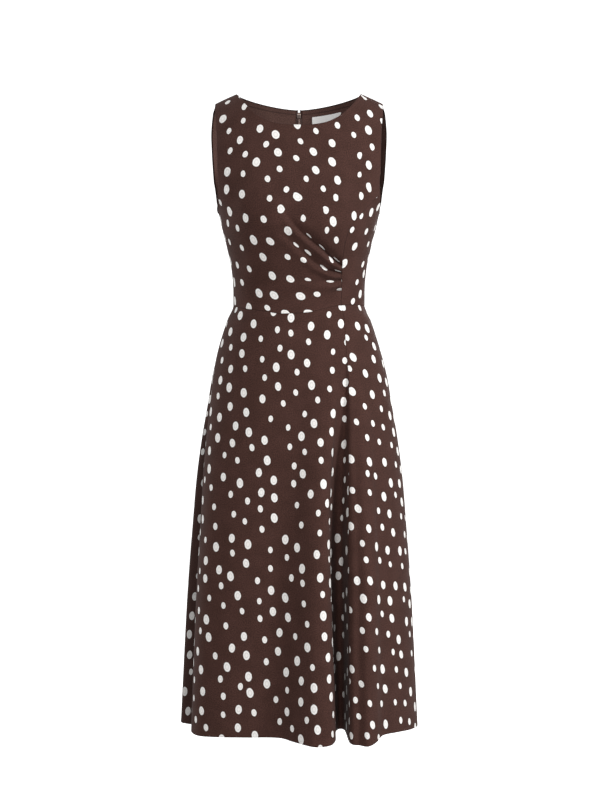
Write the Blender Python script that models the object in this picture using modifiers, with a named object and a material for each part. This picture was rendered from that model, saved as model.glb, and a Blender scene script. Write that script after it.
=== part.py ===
"""A sleeveless fit-and-flare midi dress, filled out with no wearer.

The cloth is a set of thin walls, one solid for each piece that a maker would cut:
front bodice, side front bodice, two back bodices, front skirt, side front skirt
gore, two back skirts, neck and armhole facings, label, zip tape, slider and pull.

Frame: +X is the wearer's left, the front faces -Y, +Z is up. The origin is midway
between the two shoulder seams, where the wearer's shoulders hold the dress up.
Sizes are in millimetres until the points go into a mesh. "Drop" is the distance
below the origin, and an angle goes round the dress from 0 at the wearer's left
side seam through 90 at centre front to 180, with centre back at -90.
"""
import math

import bmesh
import bpy
import numpy as np
from mathutils import Matrix, Vector

MM = 0.001

# Cloth layers, from the outside in.
WALL = 1.3
LAYER_GAP = 0.3
FACING_GAP = 1.7              # the facings hang a little clear of the shell's flat facets
FACING_WALL = 1.0
TRIM = 0.15                   # every edge stops this far short of its seam line

# The form under the cloth: one row for each level.
BODY_COLUMNS = ("drop", "half_width", "front", "back", "middle", "squareness")
BODY = (
    (-24, 190.0, 74, 70, 0, 2.40),
    (10, 190.0, 77, 73, 0, 2.40),
    (60, 190.0, 82, 80, 0, 2.40),
    (100, 188.0, 92, 90, -1, 2.40),
    (150, 180.0, 106, 99, -2, 2.40),
    (190, 167.5, 115, 101, -4, 2.40),
    (217, 152.5, 119, 100, -5, 2.40),
    (247, 145.2, 119, 96, -5, 2.40),
    (285, 135.6, 110, 89, -5, 2.35),
    (323, 127.8, 99, 82, -5, 2.30),
    (361, 124.7, 90, 78, -5, 2.25),
    (390, 124.5, 86, 77, -5, 2.20),
    (418, 135.6, 90, 84, -5, 2.20),
    (456, 148.3, 98, 98, -4, 2.15),
    (494, 159.5, 105, 112, -3, 2.10),
    (532, 168.3, 111, 122, -2, 2.10),
    (570, 174.5, 116, 130, -1, 2.10),
    (646, 187.2, 124, 140, 0, 2.05),
    (722, 196.5, 131, 148, 0, 2.00),
    (798, 202.5, 137, 153, 0, 2.00),
    (950, 213.5, 143, 162, 0, 2.00),
    (1190, 225.5, 150, 172, 0, 2.00),
)

# Bust cups: two soft rises on the front.
BUST_X = 75
BUST_DROP = 238
BUST_RISE = 8
BUST_RADIUS = 46

# Neck and shoulders.
NECK_HALF_WIDTH = 118
NECK_POINT_DROP = -10.5       # where the neckline meets the shoulder seam
FRONT_NECK_DEPTH = 71
BACK_NECK_DEPTH = 18
FRONT_NECK_BEND = 3.0         # higher is squarer
BACK_NECK_BEND = 1.5
SHOULDER_TIP_X = 159
SHOULDER_CREST = -40.8        # the shoulder line carried on to the centre
SHOULDER_BEND = 1.6
FRONT_SHOULDER_ROUND = 105
BACK_SHOULDER_ROUND = 85

# Armholes: x of the cut edge down to the turn, then a round bottom.
FRONT_ARMHOLE = ((-24, 159), (20, 158.5), (60, 155), (100, 153), (150, 151.5))
BACK_ARMHOLE = (
    (-24, 159), (6, 159.5), (24, 165.5), (65, 169.5), (98, 168.5), (124, 167), (150, 165),
)
ARMHOLE_TURN = 150
UNDERARM = 216

# The wearer's left princess seam runs from the armhole to the waist and on as the
# gore seam to the hem: drop and x.
PRINCESS_TOP = 186
PRINCESS_TOP_X = 148
PRINCESS = (
    (219, 122), (250, 97), (268, 88.5), (289, 83.5), (316, 80), (389, 78.5),
    (460, 86), (535, 92), (660, 94), (789, 94.5), (1190, 95),
)

# Waist seam: drop by angle on the front, and by the turn from centre back behind.
FRONT_WAIST = (
    (0, 393), (30, 391), (55, 389.5), (70, 395), (76, 399.5), (85, 407.5), (102, 409.7),
    (117, 406), (140, 400), (160, 395.5), (180, 393),
)
BACK_WAIST = ((0, 396), (45, 395), (90, 393))
WAIST = 395.0                 # about where the seam lies, to start a search from

# Draped pleats, let into the princess seam: x and drop along each crease from the
# seam outwards, how deep it is pressed and how wide.
PLEATS = (
    (((78, 318), (57, 302), (42, 287), (20, 267), (2, 247), (-22, 233), (-46, 221)), 5.5, 7.5),
    (((72, 332), (58, 327), (32, 314), (2, 294), (-23, 272), (-48, 252)), 4.6, 7.0),
    (((74, 354), (50, 352), (32, 351), (2, 350), (-30, 352)), 4.2, 6.5),
    (((72, 368), (58, 374), (44, 380), (30, 390)), 3.4, 6.0),
)
PLEAT_SEAM_FADE = 12          # a pleat flattens into the gore seam over this distance
PLEAT_WAIST_FADE = 8          # and into the waist seam over this one
PLEAT_SPREAD = 0.9            # how much wider a pleat is where it runs out
PLEAT_RIDGES = ((0.8, 1.5), (0.5, -1.5))      # height and place beside the crease, as shares
PLEAT_RIDGE_WIDTH = 0.9

# Skirt folds: plan position of each fold line at knee level and at the hem.
FOLD_START = 440
FOLD_KNEE = 790
HEM = 1190
HEM_SEAM_ANGLE = 64.8
FOLD_COLUMNS = ("angle", "knee_x", "knee_y", "hem_x", "hem_y", "hem_drop")
FOLDS = (
    (-180, -187, -12, -199, -20, 1187),
    (-172, -202, 20, -225, 30, 1188),
    (-160, -190, 54, -212, 66, 1187),
    (-146, -164, 80, -178, 84, 1184),
    (-132, -136, 116, -154, 140, 1187),
    (-116, -86, 132, -96, 141, 1184),
    (-101, -38, 153, -43, 176, 1188),
    (-90, 0, 149, 0, 160, 1185),
    (-76, 48, 152, 56, 176, 1188),
    (-62, 93, 130, 102, 136, 1184),
    (-47, 138, 116, 156, 140, 1187),
    (-32, 168, 76, 184, 80, 1184),
    (-16, 193, 46, 217, 54, 1187),
    (0, 202.5, 0, 225.5, 0, 1187),
    (22, 188, -50, 207, -60, 1184),
    (36, 164, -82, 179, -95, 1182),
    (45, 145, -100, 153, -122, 1182),
    (50, 136, -114, 141, -145, 1189),
    (56, 121, -126, 125, -159, 1194),
    (61, 107, -125, 109, -153, 1193),
    (64.8, 95, -113, 97, -130, 1190),
    (66.3, 81, -98, 86, -90, 1181),
    (68, 66, -99, 74, -86, 1180),
    (70, 57, -113, 65, -112, 1183),
    (72.5, 56, -133, 67, -141, 1186),
    (75, 49, -147, 59, -165, 1190),
    (80, 33, -152, 36, -174, 1192),
    (84, 17, -148, 20, -172, 1191),
    (92, -10, -134, -9, -150, 1188),
    (100, -36, -127, -37, -128, 1185),
    (117, -90, -121, -100, -125, 1185),
    (135, -139, -105, -154, -116, 1186),
    (150, -172, -82, -190, -95, 1187),
    (163, -190, -48, -207, -62, 1178),
    (180, -187, -12, -199, -20, 1187),
)

# Facings, label and zip.
NECK_FACING_DROP = 62
NECK_FACING_SHOULDER_X = 134
FACING_INSET = 0.8            # facings stop this far short of the shell's edge
NECK_FACING_CLEAR = 0.5       # of the shoulder's highest line
ARMHOLE_FACING_WIDTH = 20
ZIP_EDGE_X = 6.2
LABEL_LEFT_X = 26
LABEL_RIGHT_X = 82
LABEL_BELOW_NECK = 14
LABEL_HEIGHT = 20
LABEL_GAP = 2 * LAYER_GAP
ZIP_TOP = 22.4
ZIP_BOTTOM = 560
ZIP_NARROW_HALF = 5.6         # between the facing's two edges
ZIP_WIDE_HALF = 12.0
ZIP_WIDENS = (66, 74)
COIL_HALF = 2.0
COIL_FOOT_HALF = 2.5
COIL_RISE = 1.1
TAPE_WALL = 1.0
TAPE_GAP = 2.3                # clear of the shell's facets where the back turns at the waist
NECK_OPENING_HALF = 4.0       # the two halves part a little above the slider
NECK_OPENING_DEPTH = 15

SLIDER_DROP = 17.4
SLIDER_SIZE = (7.4, 8.4, 2.4)             # across, down, through
SLIDER_FACE = 0.4                         # its outer face to the shell's inner face
SLIDER_EDGE = 0.7
SLIDER_NECK = (1.6, 3.6)                  # the stem that stands out between the tapes
SLIDER_PLATE = (6.4, 6.0, 0.8)            # the plate outside the cloth
SLIDER_PLATE_STAND = 0.5
SLIDER_LAP = 0.4                          # parts of the slider run this far into each other
PULL_PIN_DROP = 14.6
PULL_PIN_RADIUS = 0.6
PULL_PIN_STAND = 3.6                      # pin axis to the cloth's outer face
PULL_EYE_INNER = 0.9
PULL_EYE_OUTER = 1.6
PULL_EYE_WIDTH = 2.8
PULL_LENGTH = 21
PULL_WIDE = 5.4
PULL_THICK = 1.0
EYE_SIDES = 16
PULL_EYE_LAP = 0.8
PULL_TIP_STAND = 1.3                      # the tab's middle to the cloth, near its tip
PULL_TIP_SHORT = 3
PULL_OUTLINE = (                          # distance from the pin and half width
    (PULL_EYE_LAP, 1.3), (4.0, 1.2), (8.0, 1.5), (12.0, 2.1), (15.5, PULL_WIDE / 2),
    (18.0, PULL_WIDE / 2), (20.0, 1.8), (PULL_LENGTH, 0.7),
)
CHEEK_THICK = 0.8
CHEEK_GAP = 0.4
CHEEK_TALL = 2.4
CHEEK_RIM = 0.5                           # metal outside the pin
CHEEK_SINK = 0.2

BROWN = (0.062, 0.032, 0.026)
PLAIN_BROWN = (0.066, 0.036, 0.030)
LABEL_GREY = (0.62, 0.61, 0.60)
PAINTED_BROWN = (0.045, 0.025, 0.021)


# --- curves through the tables -------------------------------------------------

def cubic(knots, values, slopes, at):
    at = np.clip(at, knots[0], knots[-1])
    k = np.clip(np.searchsorted(knots, at, side="right") - 1, 0, len(knots) - 2)
    step = knots[k + 1] - knots[k]
    u = (at - knots[k]) / step
    start = values[k] * (1 + 2 * u) * (1 - u) ** 2 + slopes[k] * step * u * (1 - u) ** 2
    end = values[k + 1] * u * u * (3 - 2 * u) + slopes[k + 1] * step * u * u * (u - 1)
    return start + end


def steady(knots, values, at):
    """A smooth curve through the table that never overshoots a row."""
    knots = np.asarray(knots, float)
    values = np.asarray(values, float)
    rise = np.diff(values) / np.diff(knots)
    slopes = np.concatenate([rise[:1], np.zeros(len(rise) - 1), rise[-1:]])
    for k in range(1, len(rise)):
        if rise[k - 1] * rise[k] > 0:
            slopes[k] = 2 * rise[k - 1] * rise[k] / (rise[k - 1] + rise[k])
    return cubic(knots, values, slopes, at)


def rounded(knots, values, at):
    """A closed smooth curve through the table: the last row repeats the first."""
    knots = np.asarray(knots, float)
    values = np.asarray(values, float)
    before = knots[-2] - (knots[-1] - knots[0])
    after = knots[1] + (knots[-1] - knots[0])
    long_knots = np.concatenate([[before], knots, [after]])
    long_values = np.concatenate([values[-2:-1], values, values[1:2]])
    slopes = (long_values[2:] - long_values[:-2]) / (long_knots[2:] - long_knots[:-2])
    return cubic(knots, values, slopes, at)


def column(table, names, name):
    return [row[names.index(name)] for row in table]


def pair_curve(rows, at):
    return steady([row[0] for row in rows], [row[1] for row in rows], at)


# --- the dress's outer form ----------------------------------------------------

def body_size(drop):
    levels = column(BODY, BODY_COLUMNS, "drop")
    return [steady(levels, column(BODY, BODY_COLUMNS, name), drop) for name in BODY_COLUMNS[1:]]


def angle_at(x, drop):
    """Angle of the front point that lies this far across, on a level."""
    half_width, _, _, _, squareness = body_size(drop)
    share = np.clip(np.abs(x) / half_width, 0, 1)
    turn = np.degrees(np.arccos(share ** (squareness / 2)))
    return np.where(np.asarray(x) >= 0, turn, 180 - turn)


def shoulder_drop(x):
    fall = NECK_POINT_DROP - SHOULDER_CREST
    return SHOULDER_CREST + fall * (np.abs(x) / NECK_HALF_WIDTH) ** SHOULDER_BEND


def neck_drop(x, front):
    share = np.clip(np.abs(x) / NECK_HALF_WIDTH, 0, 1)
    if front:
        return NECK_POINT_DROP + FRONT_NECK_DEPTH * (1 - share ** FRONT_NECK_BEND)
    return NECK_POINT_DROP + BACK_NECK_DEPTH * (1 - share ** BACK_NECK_BEND)


def top_drop(x, front):
    on_neck = np.abs(x) < NECK_HALF_WIDTH
    return np.where(on_neck, neck_drop(x, front), shoulder_drop(x))


def ring(angle, drop):
    """The plain form: rings with flat-sided curves, closed over the shoulders."""
    half_width, front, back, middle, squareness = body_size(drop)
    turn = np.radians(angle)
    across = np.sign(np.cos(turn)) * np.abs(np.cos(turn)) ** (2 / squareness)
    deep = np.sign(np.sin(turn)) * np.abs(np.sin(turn)) ** (2 / squareness)
    x = half_width * across
    shoulder_round = np.where(deep > 0, FRONT_SHOULDER_ROUND, BACK_SHOULDER_ROUND)
    under = np.clip((drop - shoulder_drop(x)) / shoulder_round, 0, 1)
    cap = np.sqrt(1 - (1 - under) ** 2)
    y = middle - np.where(deep > 0, front, back) * deep * cap
    return x, y


def crease_run(points, count=14):
    """Even points along a smooth line through a crease's own points."""
    steps = np.arange(len(points), dtype=float)
    fine = np.linspace(0, len(points) - 1, count)
    return [steady(steps, [point[axis] for point in points], fine) for axis in (0, 1)]


def pleat_relief(x, drop):
    """How far the draped pleats stand out from the plain form."""
    relief = np.zeros(np.broadcast(x, drop).shape)
    for points, depth, width in PLEATS:
        run_x, run_drop = crease_run(points)
        nearest = np.full(relief.shape, 1e9)
        side = np.zeros(relief.shape)
        share = np.zeros(relief.shape)
        for k in range(len(run_x) - 1):
            along = (run_x[k + 1] - run_x[k], run_drop[k + 1] - run_drop[k])
            length = math.hypot(*along)
            u = ((x - run_x[k]) * along[0] + (drop - run_drop[k]) * along[1]) / length ** 2
            u = np.clip(u, 0, 1)
            off_x = x - run_x[k] - u * along[0]
            off_drop = drop - run_drop[k] - u * along[1]
            distance = np.hypot(off_x, off_drop)
            closer = distance < nearest
            nearest = np.where(closer, distance, nearest)
            side = np.where(closer, np.sign(off_x * along[1] - off_drop * along[0]), side)
            share = np.where(closer, (k + u) / (len(run_x) - 1), share)
        spread = width * (1 + PLEAT_SPREAD * share)
        fade = (1 - share) ** 0.8
        across = nearest * side / spread
        profile = -np.exp(-across ** 2)
        for height, place in PLEAT_RIDGES:
            profile += height * np.exp(-((across - place) / PLEAT_RIDGE_WIDTH) ** 2)
        relief += depth * fade * profile
    seam_x = pair_curve(((PRINCESS_TOP, PRINCESS_TOP_X),) + PRINCESS, drop)
    seam_fade = np.clip((seam_x - x) / PLEAT_SEAM_FADE, 0, 1)
    waist_fade = np.clip((waist_drop(angle_at(x, drop)) - drop) / PLEAT_WAIST_FADE, 0, 1)
    return relief * seam_fade * waist_fade


def bodice(angle, drop):
    """A point of the bodice's outer face, from an angle and a drop."""
    x, y = ring(angle, drop)
    on_front = np.sin(np.radians(angle)) > 0
    cups = sum(
        np.exp(-((x - cup_x) ** 2 + (drop - BUST_DROP) ** 2) / (2 * BUST_RADIUS ** 2))
        for cup_x in (-BUST_X, BUST_X)
    )
    out = np.where(on_front, BUST_RISE * cups + pleat_relief(x, drop), 0)
    return np.stack([x, y - out, -drop * np.ones_like(x)], axis=-1)


def armhole_angle(drop, front):
    """Angle of the armhole's cut edge, positive on the front."""
    rows = FRONT_ARMHOLE if front else BACK_ARMHOLE
    upper = angle_at(pair_curve(rows, drop), np.minimum(drop, ARMHOLE_TURN))
    widest = math.sin(math.radians(float(angle_at(rows[-1][1], float(ARMHOLE_TURN)))))
    fall = np.clip((drop - ARMHOLE_TURN) / (UNDERARM - ARMHOLE_TURN), 0, 1)
    lower = np.degrees(np.arcsin(widest * np.sqrt(1 - fall ** 2)))
    edge = np.where(drop < ARMHOLE_TURN, upper, lower)
    return edge if front else -edge


def princess_angle(drop):
    top = float(armhole_angle(float(PRINCESS_TOP), True))
    rows = [(PRINCESS_TOP, top)]
    rows += [(level, float(angle_at(float(x), float(level)))) for level, x in PRINCESS]
    return pair_curve(rows, drop)


def waist_drop(angle):
    behind = pair_curve(BACK_WAIST, np.abs(angle + 90))
    return np.where(angle < 0, behind, pair_curve(FRONT_WAIST, angle))


def skirt_angle(hem_angle, drop):
    """The gore seam drifts round the dress on its way up; the rest follows it."""
    seam = princess_angle(drop)
    behind_seam = hem_angle * seam / HEM_SEAM_ANGLE
    before_seam = 180 - (180 - hem_angle) * (180 - seam) / (180 - HEM_SEAM_ANGLE)
    front = np.where(hem_angle < HEM_SEAM_ANGLE, behind_seam, before_seam)
    return np.where(hem_angle < 0, hem_angle, front)


def fold_offsets(hem_angle, level, prefix):
    """Plan offset of the folds from the plain ring, at knee level or at the hem."""
    angles = np.array(column(FOLDS, FOLD_COLUMNS, "angle"), float)
    ring_x, ring_y = ring(skirt_angle(angles, float(level)), np.full(len(angles), float(level)))
    off_x = np.array(column(FOLDS, FOLD_COLUMNS, prefix + "_x"), float) - ring_x
    off_y = np.array(column(FOLDS, FOLD_COLUMNS, prefix + "_y"), float) - ring_y
    return rounded(angles, off_x, hem_angle), rounded(angles, off_y, hem_angle)


def grow(knee, hem, drop):
    """A fold opens smoothly from nothing, through its knee depth, to the hem."""
    upper = np.clip((drop - FOLD_START) / (FOLD_KNEE - FOLD_START), 0, 1)
    lower = np.clip((drop - FOLD_KNEE) / (HEM - FOLD_KNEE), 0, 1)
    slope = hem / (HEM - FOLD_START)
    above = knee * (3 - 2 * upper) * upper ** 2
    above += slope * (FOLD_KNEE - FOLD_START) * (upper - 1) * upper ** 2
    below = knee + (hem - knee) * (3 - 2 * lower) * lower ** 2
    below += slope * (HEM - FOLD_KNEE) * lower * (1 - lower) ** 2
    below += (hem - knee) * (lower - 1) * lower ** 2
    return np.where(drop < FOLD_KNEE, above, below)


def skirt(hem_angle, drop):
    """A point of the skirt's outer face, from its angle at the hem and its drop."""
    x, y = ring(skirt_angle(hem_angle, drop), drop)
    knee_x, knee_y = fold_offsets(hem_angle, FOLD_KNEE, "knee")
    hem_x, hem_y = fold_offsets(hem_angle, HEM, "hem")
    x = x + grow(knee_x, hem_x, drop)
    y = y + grow(knee_y, hem_y, drop)
    return np.stack([x, y, -drop * np.ones_like(x)], axis=-1)


def hem_drop(hem_angle):
    return rounded(column(FOLDS, FOLD_COLUMNS, "angle"), column(FOLDS, FOLD_COLUMNS, "hem_drop"), hem_angle)


def outward(surface, angle, drop):
    """Unit normals of a surface, pointing out of the dress."""
    across = surface(angle + 0.1, drop) - surface(angle - 0.1, drop)
    down = surface(angle, drop + 0.4) - surface(angle, drop - 0.4)
    normal = np.cross(across, down)
    x = surface(angle, drop)[..., 0]
    on_shoulder = drop - shoulder_drop(x) < 1.0
    normal[..., 1] = np.where(on_shoulder, 0, normal[..., 1])
    normal /= np.linalg.norm(normal, axis=-1, keepdims=True)
    return normal


# --- walls -----------------------------------------------------------------------

def settle(edge_drop, place, start):
    """Drop at which each column reaches an edge that depends on where it is."""
    drop = start
    for _ in range(14):
        drop = edge_drop(place(drop))
    return drop


def pull_in(grid, distance):
    """Moves the grid's four edges in by a distance."""
    for edge, inner in ((0, 1), (-1, -2)):
        for axis in (0, 1):
            lines = np.moveaxis(grid, axis, 0)
            run = lines[inner] - lines[edge]
            lines[edge] += distance * run / np.linalg.norm(run, axis=-1, keepdims=True)
    return grid


def wall_faces(rows, columns, loop):
    """Quads of a closed wall: two faces and the rim between them."""
    layer = rows * columns

    def at(row, col, side):
        return side * layer + row * columns + col % columns

    faces = []
    for row in range(rows - 1):
        for col in range(columns if loop else columns - 1):
            for side in (0, 1):
                faces.append([at(row, col, side), at(row, col + 1, side),
                              at(row + 1, col + 1, side), at(row + 1, col, side)])
    for col in range(columns if loop else columns - 1):
        for row in (0, rows - 1):
            faces.append([at(row, col, 0), at(row, col + 1, 0), at(row, col + 1, 1), at(row, col, 1)])
    if not loop:
        for row in range(rows - 1):
            for col in (0, columns - 1):
                faces.append([at(row, col, 0), at(row + 1, col, 0), at(row + 1, col, 1), at(row, col, 1)])
    return faces


def wall(name, grids, material, loop=False):
    """One piece of cloth: a closed solid between an outer and an inner grid."""
    outer, inner = grids
    rows, columns = outer.shape[:2]
    points = np.concatenate([outer.reshape(-1, 3), inner.reshape(-1, 3)]) * MM
    mesh = bpy.data.meshes.new(name)
    mesh.from_pydata(points.tolist(), [], wall_faces(rows, columns, loop))
    shape = bmesh.new()
    shape.from_mesh(mesh)
    bmesh.ops.recalc_face_normals(shape, faces=shape.faces)
    shape.to_mesh(mesh)
    shape.free()
    mesh.shade_smooth()
    mesh.set_sharp_from_angle(angle=math.radians(50))
    mesh.materials.append(material)
    piece = bpy.data.objects.new(name, mesh)
    dress.objects.link(piece)


def sewn_panel(surface, angle, drop):
    """The two faces of a panel of shell cloth, from its grid of angles and drops."""
    outer = pull_in(surface(angle, drop), TRIM)
    return outer, outer - WALL * outward(surface, angle, drop)


def mirrored(grids, side):
    """The same piece for the wearer's left, +1, or for the right, -1."""
    for grid in grids:
        grid[..., 0] *= side
    return grids


def inside_layer(surface, angle, drop, depth, thickness):
    """Two grids of a layer that lies inside the shell, this deep from its outer face."""
    points = surface(angle, drop)
    normals = outward(surface, angle, drop)
    return points - depth * normals, points - (depth + thickness) * normals


# --- bodice ------------------------------------------------------------------------

SHOULDER_COLUMNS = 3
FRONT_LEFT_COLUMNS = 8
FRONT_DRAPED_COLUMNS = 12
ROUND_ROWS = 5
UPPER_ROWS = 8
LOWER_ROWS = 22
ROUND_SHARE = 0.09            # share of a column's height that rounds over the shoulder


def neck_point_share():
    """Where the neck point falls between the two armhole edges, as a share."""
    level = float(NECK_POINT_DROP)
    tip = float(angle_at(float(SHOULDER_TIP_X), level))
    neck = float(angle_at(float(NECK_HALF_WIDTH), level))
    return (neck - tip) / (180 - 2 * tip)


def bodice_rows(corner, lower_rows):
    """Row shares: close together over the shoulder, a row on the seam's corner."""
    over = ROUND_SHARE * (1 - np.cos(np.linspace(0, math.pi / 2, ROUND_ROWS + 1)))
    upper = np.linspace(ROUND_SHARE, corner, UPPER_ROWS + 1)
    lower = np.linspace(corner, 1, lower_rows + 1)
    return np.concatenate([over, upper[1:], lower[1:]])


def princess_foot():
    """The princess seam's corner, as a share of its column, and its drop at the waist."""
    tip_drop = float(shoulder_drop(float(SHOULDER_TIP_X)))
    seam_waist = float(waist_drop(princess_angle(WAIST)))
    corner = (PRINCESS_TOP - tip_drop) / (seam_waist - tip_drop)
    return corner, seam_waist


def front_bodice():
    neck = neck_point_share()
    share = np.concatenate([
        np.linspace(0, neck, SHOULDER_COLUMNS + 1),
        np.linspace(neck, 0.5, FRONT_LEFT_COLUMNS + 1)[1:],
        np.linspace(0.5, 1 - neck, FRONT_DRAPED_COLUMNS + 1)[1:],
        np.linspace(1 - neck, 1, SHOULDER_COLUMNS + 3)[1:],
    ])

    def angle_of(drop):
        left = 180 - armhole_angle(drop, True)
        right = np.where(drop < PRINCESS_TOP, armhole_angle(drop, True), princess_angle(drop))
        return left + (right - left) * share

    top = settle(lambda angle: top_drop(ring(angle, np.zeros_like(angle))[0], True),
                 angle_of, np.zeros_like(share))
    waist = settle(waist_drop, angle_of, np.full_like(share, WAIST))
    corner, seam_waist = princess_foot()
    top[0] = top[-1] = float(shoulder_drop(float(SHOULDER_TIP_X)))
    waist[-1] = seam_waist
    rows = bodice_rows(corner, LOWER_ROWS)
    drop = top + (waist - top) * rows[:, None]
    return sewn_panel(bodice, angle_of(drop), drop)


SIDE_COLUMNS = 8


def side_front_bodice():
    share = np.linspace(0, 1, SIDE_COLUMNS + 1)

    def angle_of(drop):
        return princess_angle(drop) * (1 - share)

    low = np.full_like(share, float(PRINCESS_TOP))
    high = np.full_like(share, float(UNDERARM))
    for _ in range(40):
        middle = (low + high) / 2
        above = angle_of(middle) < armhole_angle(middle, True)
        low = np.where(above, middle, low)
        high = np.where(above, high, middle)
    top = low
    top[0] = PRINCESS_TOP
    top[-1] = UNDERARM
    waist = settle(waist_drop, angle_of, np.full_like(share, WAIST))
    waist[0] = princess_foot()[1]
    rows = np.linspace(0, 1, LOWER_ROWS + 1)[:, None]
    drop = top + (waist - top) * rows
    return sewn_panel(bodice, angle_of(drop), drop)


BACK_SHOULDER_COLUMNS = 3
BACK_NECK_COLUMNS = 7
BACK_LOWER_ROWS = 9


def cb_opening(drop):
    """Half the gap between the two back edges, above the slider."""
    top = float(neck_drop(0.0, False))
    share = np.clip(1 - (drop - top) / NECK_OPENING_DEPTH, 0, 1)
    return NECK_OPENING_HALF * share ** 1.2


def back_bodice(side):
    """side is +1 for the wearer's left half and -1 for the right half."""
    level = float(NECK_POINT_DROP)
    tip = float(angle_at(float(SHOULDER_TIP_X), level))
    neck = float(angle_at(float(NECK_HALF_WIDTH), level))
    neck_share = (neck - tip) / (90 - tip)
    share = np.concatenate([
        np.linspace(0, neck_share, BACK_SHOULDER_COLUMNS + 1),
        np.linspace(neck_share, 1, BACK_NECK_COLUMNS + 1)[1:],
    ])

    def angle_of(drop):
        edge = armhole_angle(drop, False)
        return edge + (-90 - edge) * share

    top = settle(lambda angle: top_drop(ring(angle, np.zeros_like(angle))[0], False),
                 angle_of, np.zeros_like(share))
    top[0] = float(shoulder_drop(float(SHOULDER_TIP_X)))
    waist = settle(waist_drop, angle_of, np.full_like(share, WAIST))
    corner = (UNDERARM - top[0]) / (waist[0] - top[0])
    rows = bodice_rows(corner, BACK_LOWER_ROWS)
    drop = top + (waist - top) * rows[:, None]
    grids = sewn_panel(bodice, angle_of(drop), drop)
    for grid in grids:
        grid[:, -1, 0] += cb_opening(drop[:, -1])
    return mirrored(grids, side)


# --- skirt --------------------------------------------------------------------------

SKIRT_ROWS = 12
SKIRT_ROW_CROWDING = 1.5      # rows lie closer together over the hips


def even_angles(start, end, count):
    """Hem angles that split a stretch of the hem into equal lengths."""
    fine = np.linspace(start, end, 600)
    points = skirt(fine, np.full_like(fine, float(HEM)))
    steps = np.linalg.norm(np.diff(points, axis=0), axis=1)
    length = np.concatenate([[0], np.cumsum(steps)])
    return np.interp(np.linspace(0, length[-1], count + 1), length, fine)


def skirt_panel(start, end, count):
    hem_angle = even_angles(start, end, count)
    top = settle(waist_drop, lambda drop: skirt_angle(hem_angle, drop), np.full_like(hem_angle, WAIST))
    bottom = hem_drop(hem_angle)
    rows = np.linspace(0, 1, SKIRT_ROWS + 1)[:, None] ** SKIRT_ROW_CROWDING
    drop = top + (bottom - top) * rows
    angle = np.broadcast_to(hem_angle, drop.shape)
    return sewn_panel(skirt, angle, drop)


# --- facings, label and zip ------------------------------------------------------------

NECK_FACING_COLUMNS = 10
NECK_FACING_ROWS = 4


def back_neck_facing(side):
    share = np.linspace(0, 1, NECK_FACING_COLUMNS + 1)
    edge_x = ZIP_EDGE_X + (NECK_HALF_WIDTH + FACING_INSET - ZIP_EDGE_X) * share
    edge_drop = neck_drop(edge_x, False) + FACING_INSET
    inner_x = ZIP_EDGE_X + (NECK_FACING_SHOULDER_X - ZIP_EDGE_X) * share
    end = float(shoulder_drop(float(NECK_FACING_SHOULDER_X)))
    inner_drop = NECK_FACING_DROP - (NECK_FACING_DROP - end) * share ** 3
    down = np.linspace(0, 1, NECK_FACING_ROWS + 1)[:, None]
    x = edge_x + (inner_x - edge_x) * down
    drop = edge_drop + (inner_drop - edge_drop) * down
    drop[:, -1] = shoulder_drop(x[:, -1])
    grids = inside_layer(bodice, -angle_at(x, drop), drop, WALL + FACING_GAP, FACING_WALL)
    for grid in grids:
        grid[:, -1, 1] += NECK_FACING_CLEAR
    return mirrored(grids, side)


FACING_UPPER = 8
FACING_LOWER = 8
FACING_ACROSS = 3


def armhole_half(front):
    """Angles and drops of a facing band from the shoulder down to the side seam."""
    tip_drop = float(shoulder_drop(float(SHOULDER_TIP_X)))
    down = np.linspace(0, 1, FACING_UPPER + 1) ** 1.4
    across = np.linspace(0, 1, FACING_ACROSS + 1)[:, None]
    edge_drop = tip_drop + (ARMHOLE_TURN - tip_drop) * down
    rows = FRONT_ARMHOLE if front else BACK_ARMHOLE
    x = pair_curve(rows, edge_drop) - FACING_INSET - ARMHOLE_FACING_WIDTH * across
    start = shoulder_drop(x)
    drop = start + (ARMHOLE_TURN - start) * down
    upper_angle = angle_at(x, drop)
    turn = np.linspace(0, math.pi / 2, FACING_LOWER + 1)[1:]
    widest = np.sin(np.radians(upper_angle[:, -1:]))
    reach = UNDERARM - ARMHOLE_TURN + FACING_INSET + ARMHOLE_FACING_WIDTH * across
    lower_angle = np.degrees(np.arcsin(widest * np.cos(turn)))
    lower_drop = ARMHOLE_TURN + reach * np.sin(turn)
    angle = np.concatenate([upper_angle, lower_angle], axis=1)
    drop = np.concatenate([drop, lower_drop], axis=1)
    return (angle if front else -angle), drop


def armhole_facing(side):
    front_angle, front_drop = armhole_half(True)
    back_angle, back_drop = armhole_half(False)
    angle = np.concatenate([front_angle, back_angle[:, -2:0:-1]], axis=1)
    drop = np.concatenate([front_drop, back_drop[:, -2:0:-1]], axis=1)
    return mirrored(inside_layer(bodice, angle, drop, WALL + FACING_GAP, FACING_WALL), side)


LABEL_COLUMNS = 6


def label():
    x = np.linspace(LABEL_LEFT_X, LABEL_RIGHT_X, LABEL_COLUMNS + 1)
    down = np.linspace(0, 1, 3)[:, None]
    drop = neck_drop(x, False) + LABEL_BELOW_NECK + LABEL_HEIGHT * down
    x = np.broadcast_to(x, drop.shape)
    depth = WALL + FACING_GAP + FACING_WALL + LABEL_GAP
    return inside_layer(bodice, -angle_at(x, drop), drop, depth, FACING_WALL)


ZIP_ROWS = 26
ZIP_ROW_CROWDING = 1.25       # rows lie closer together near the slider


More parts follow.
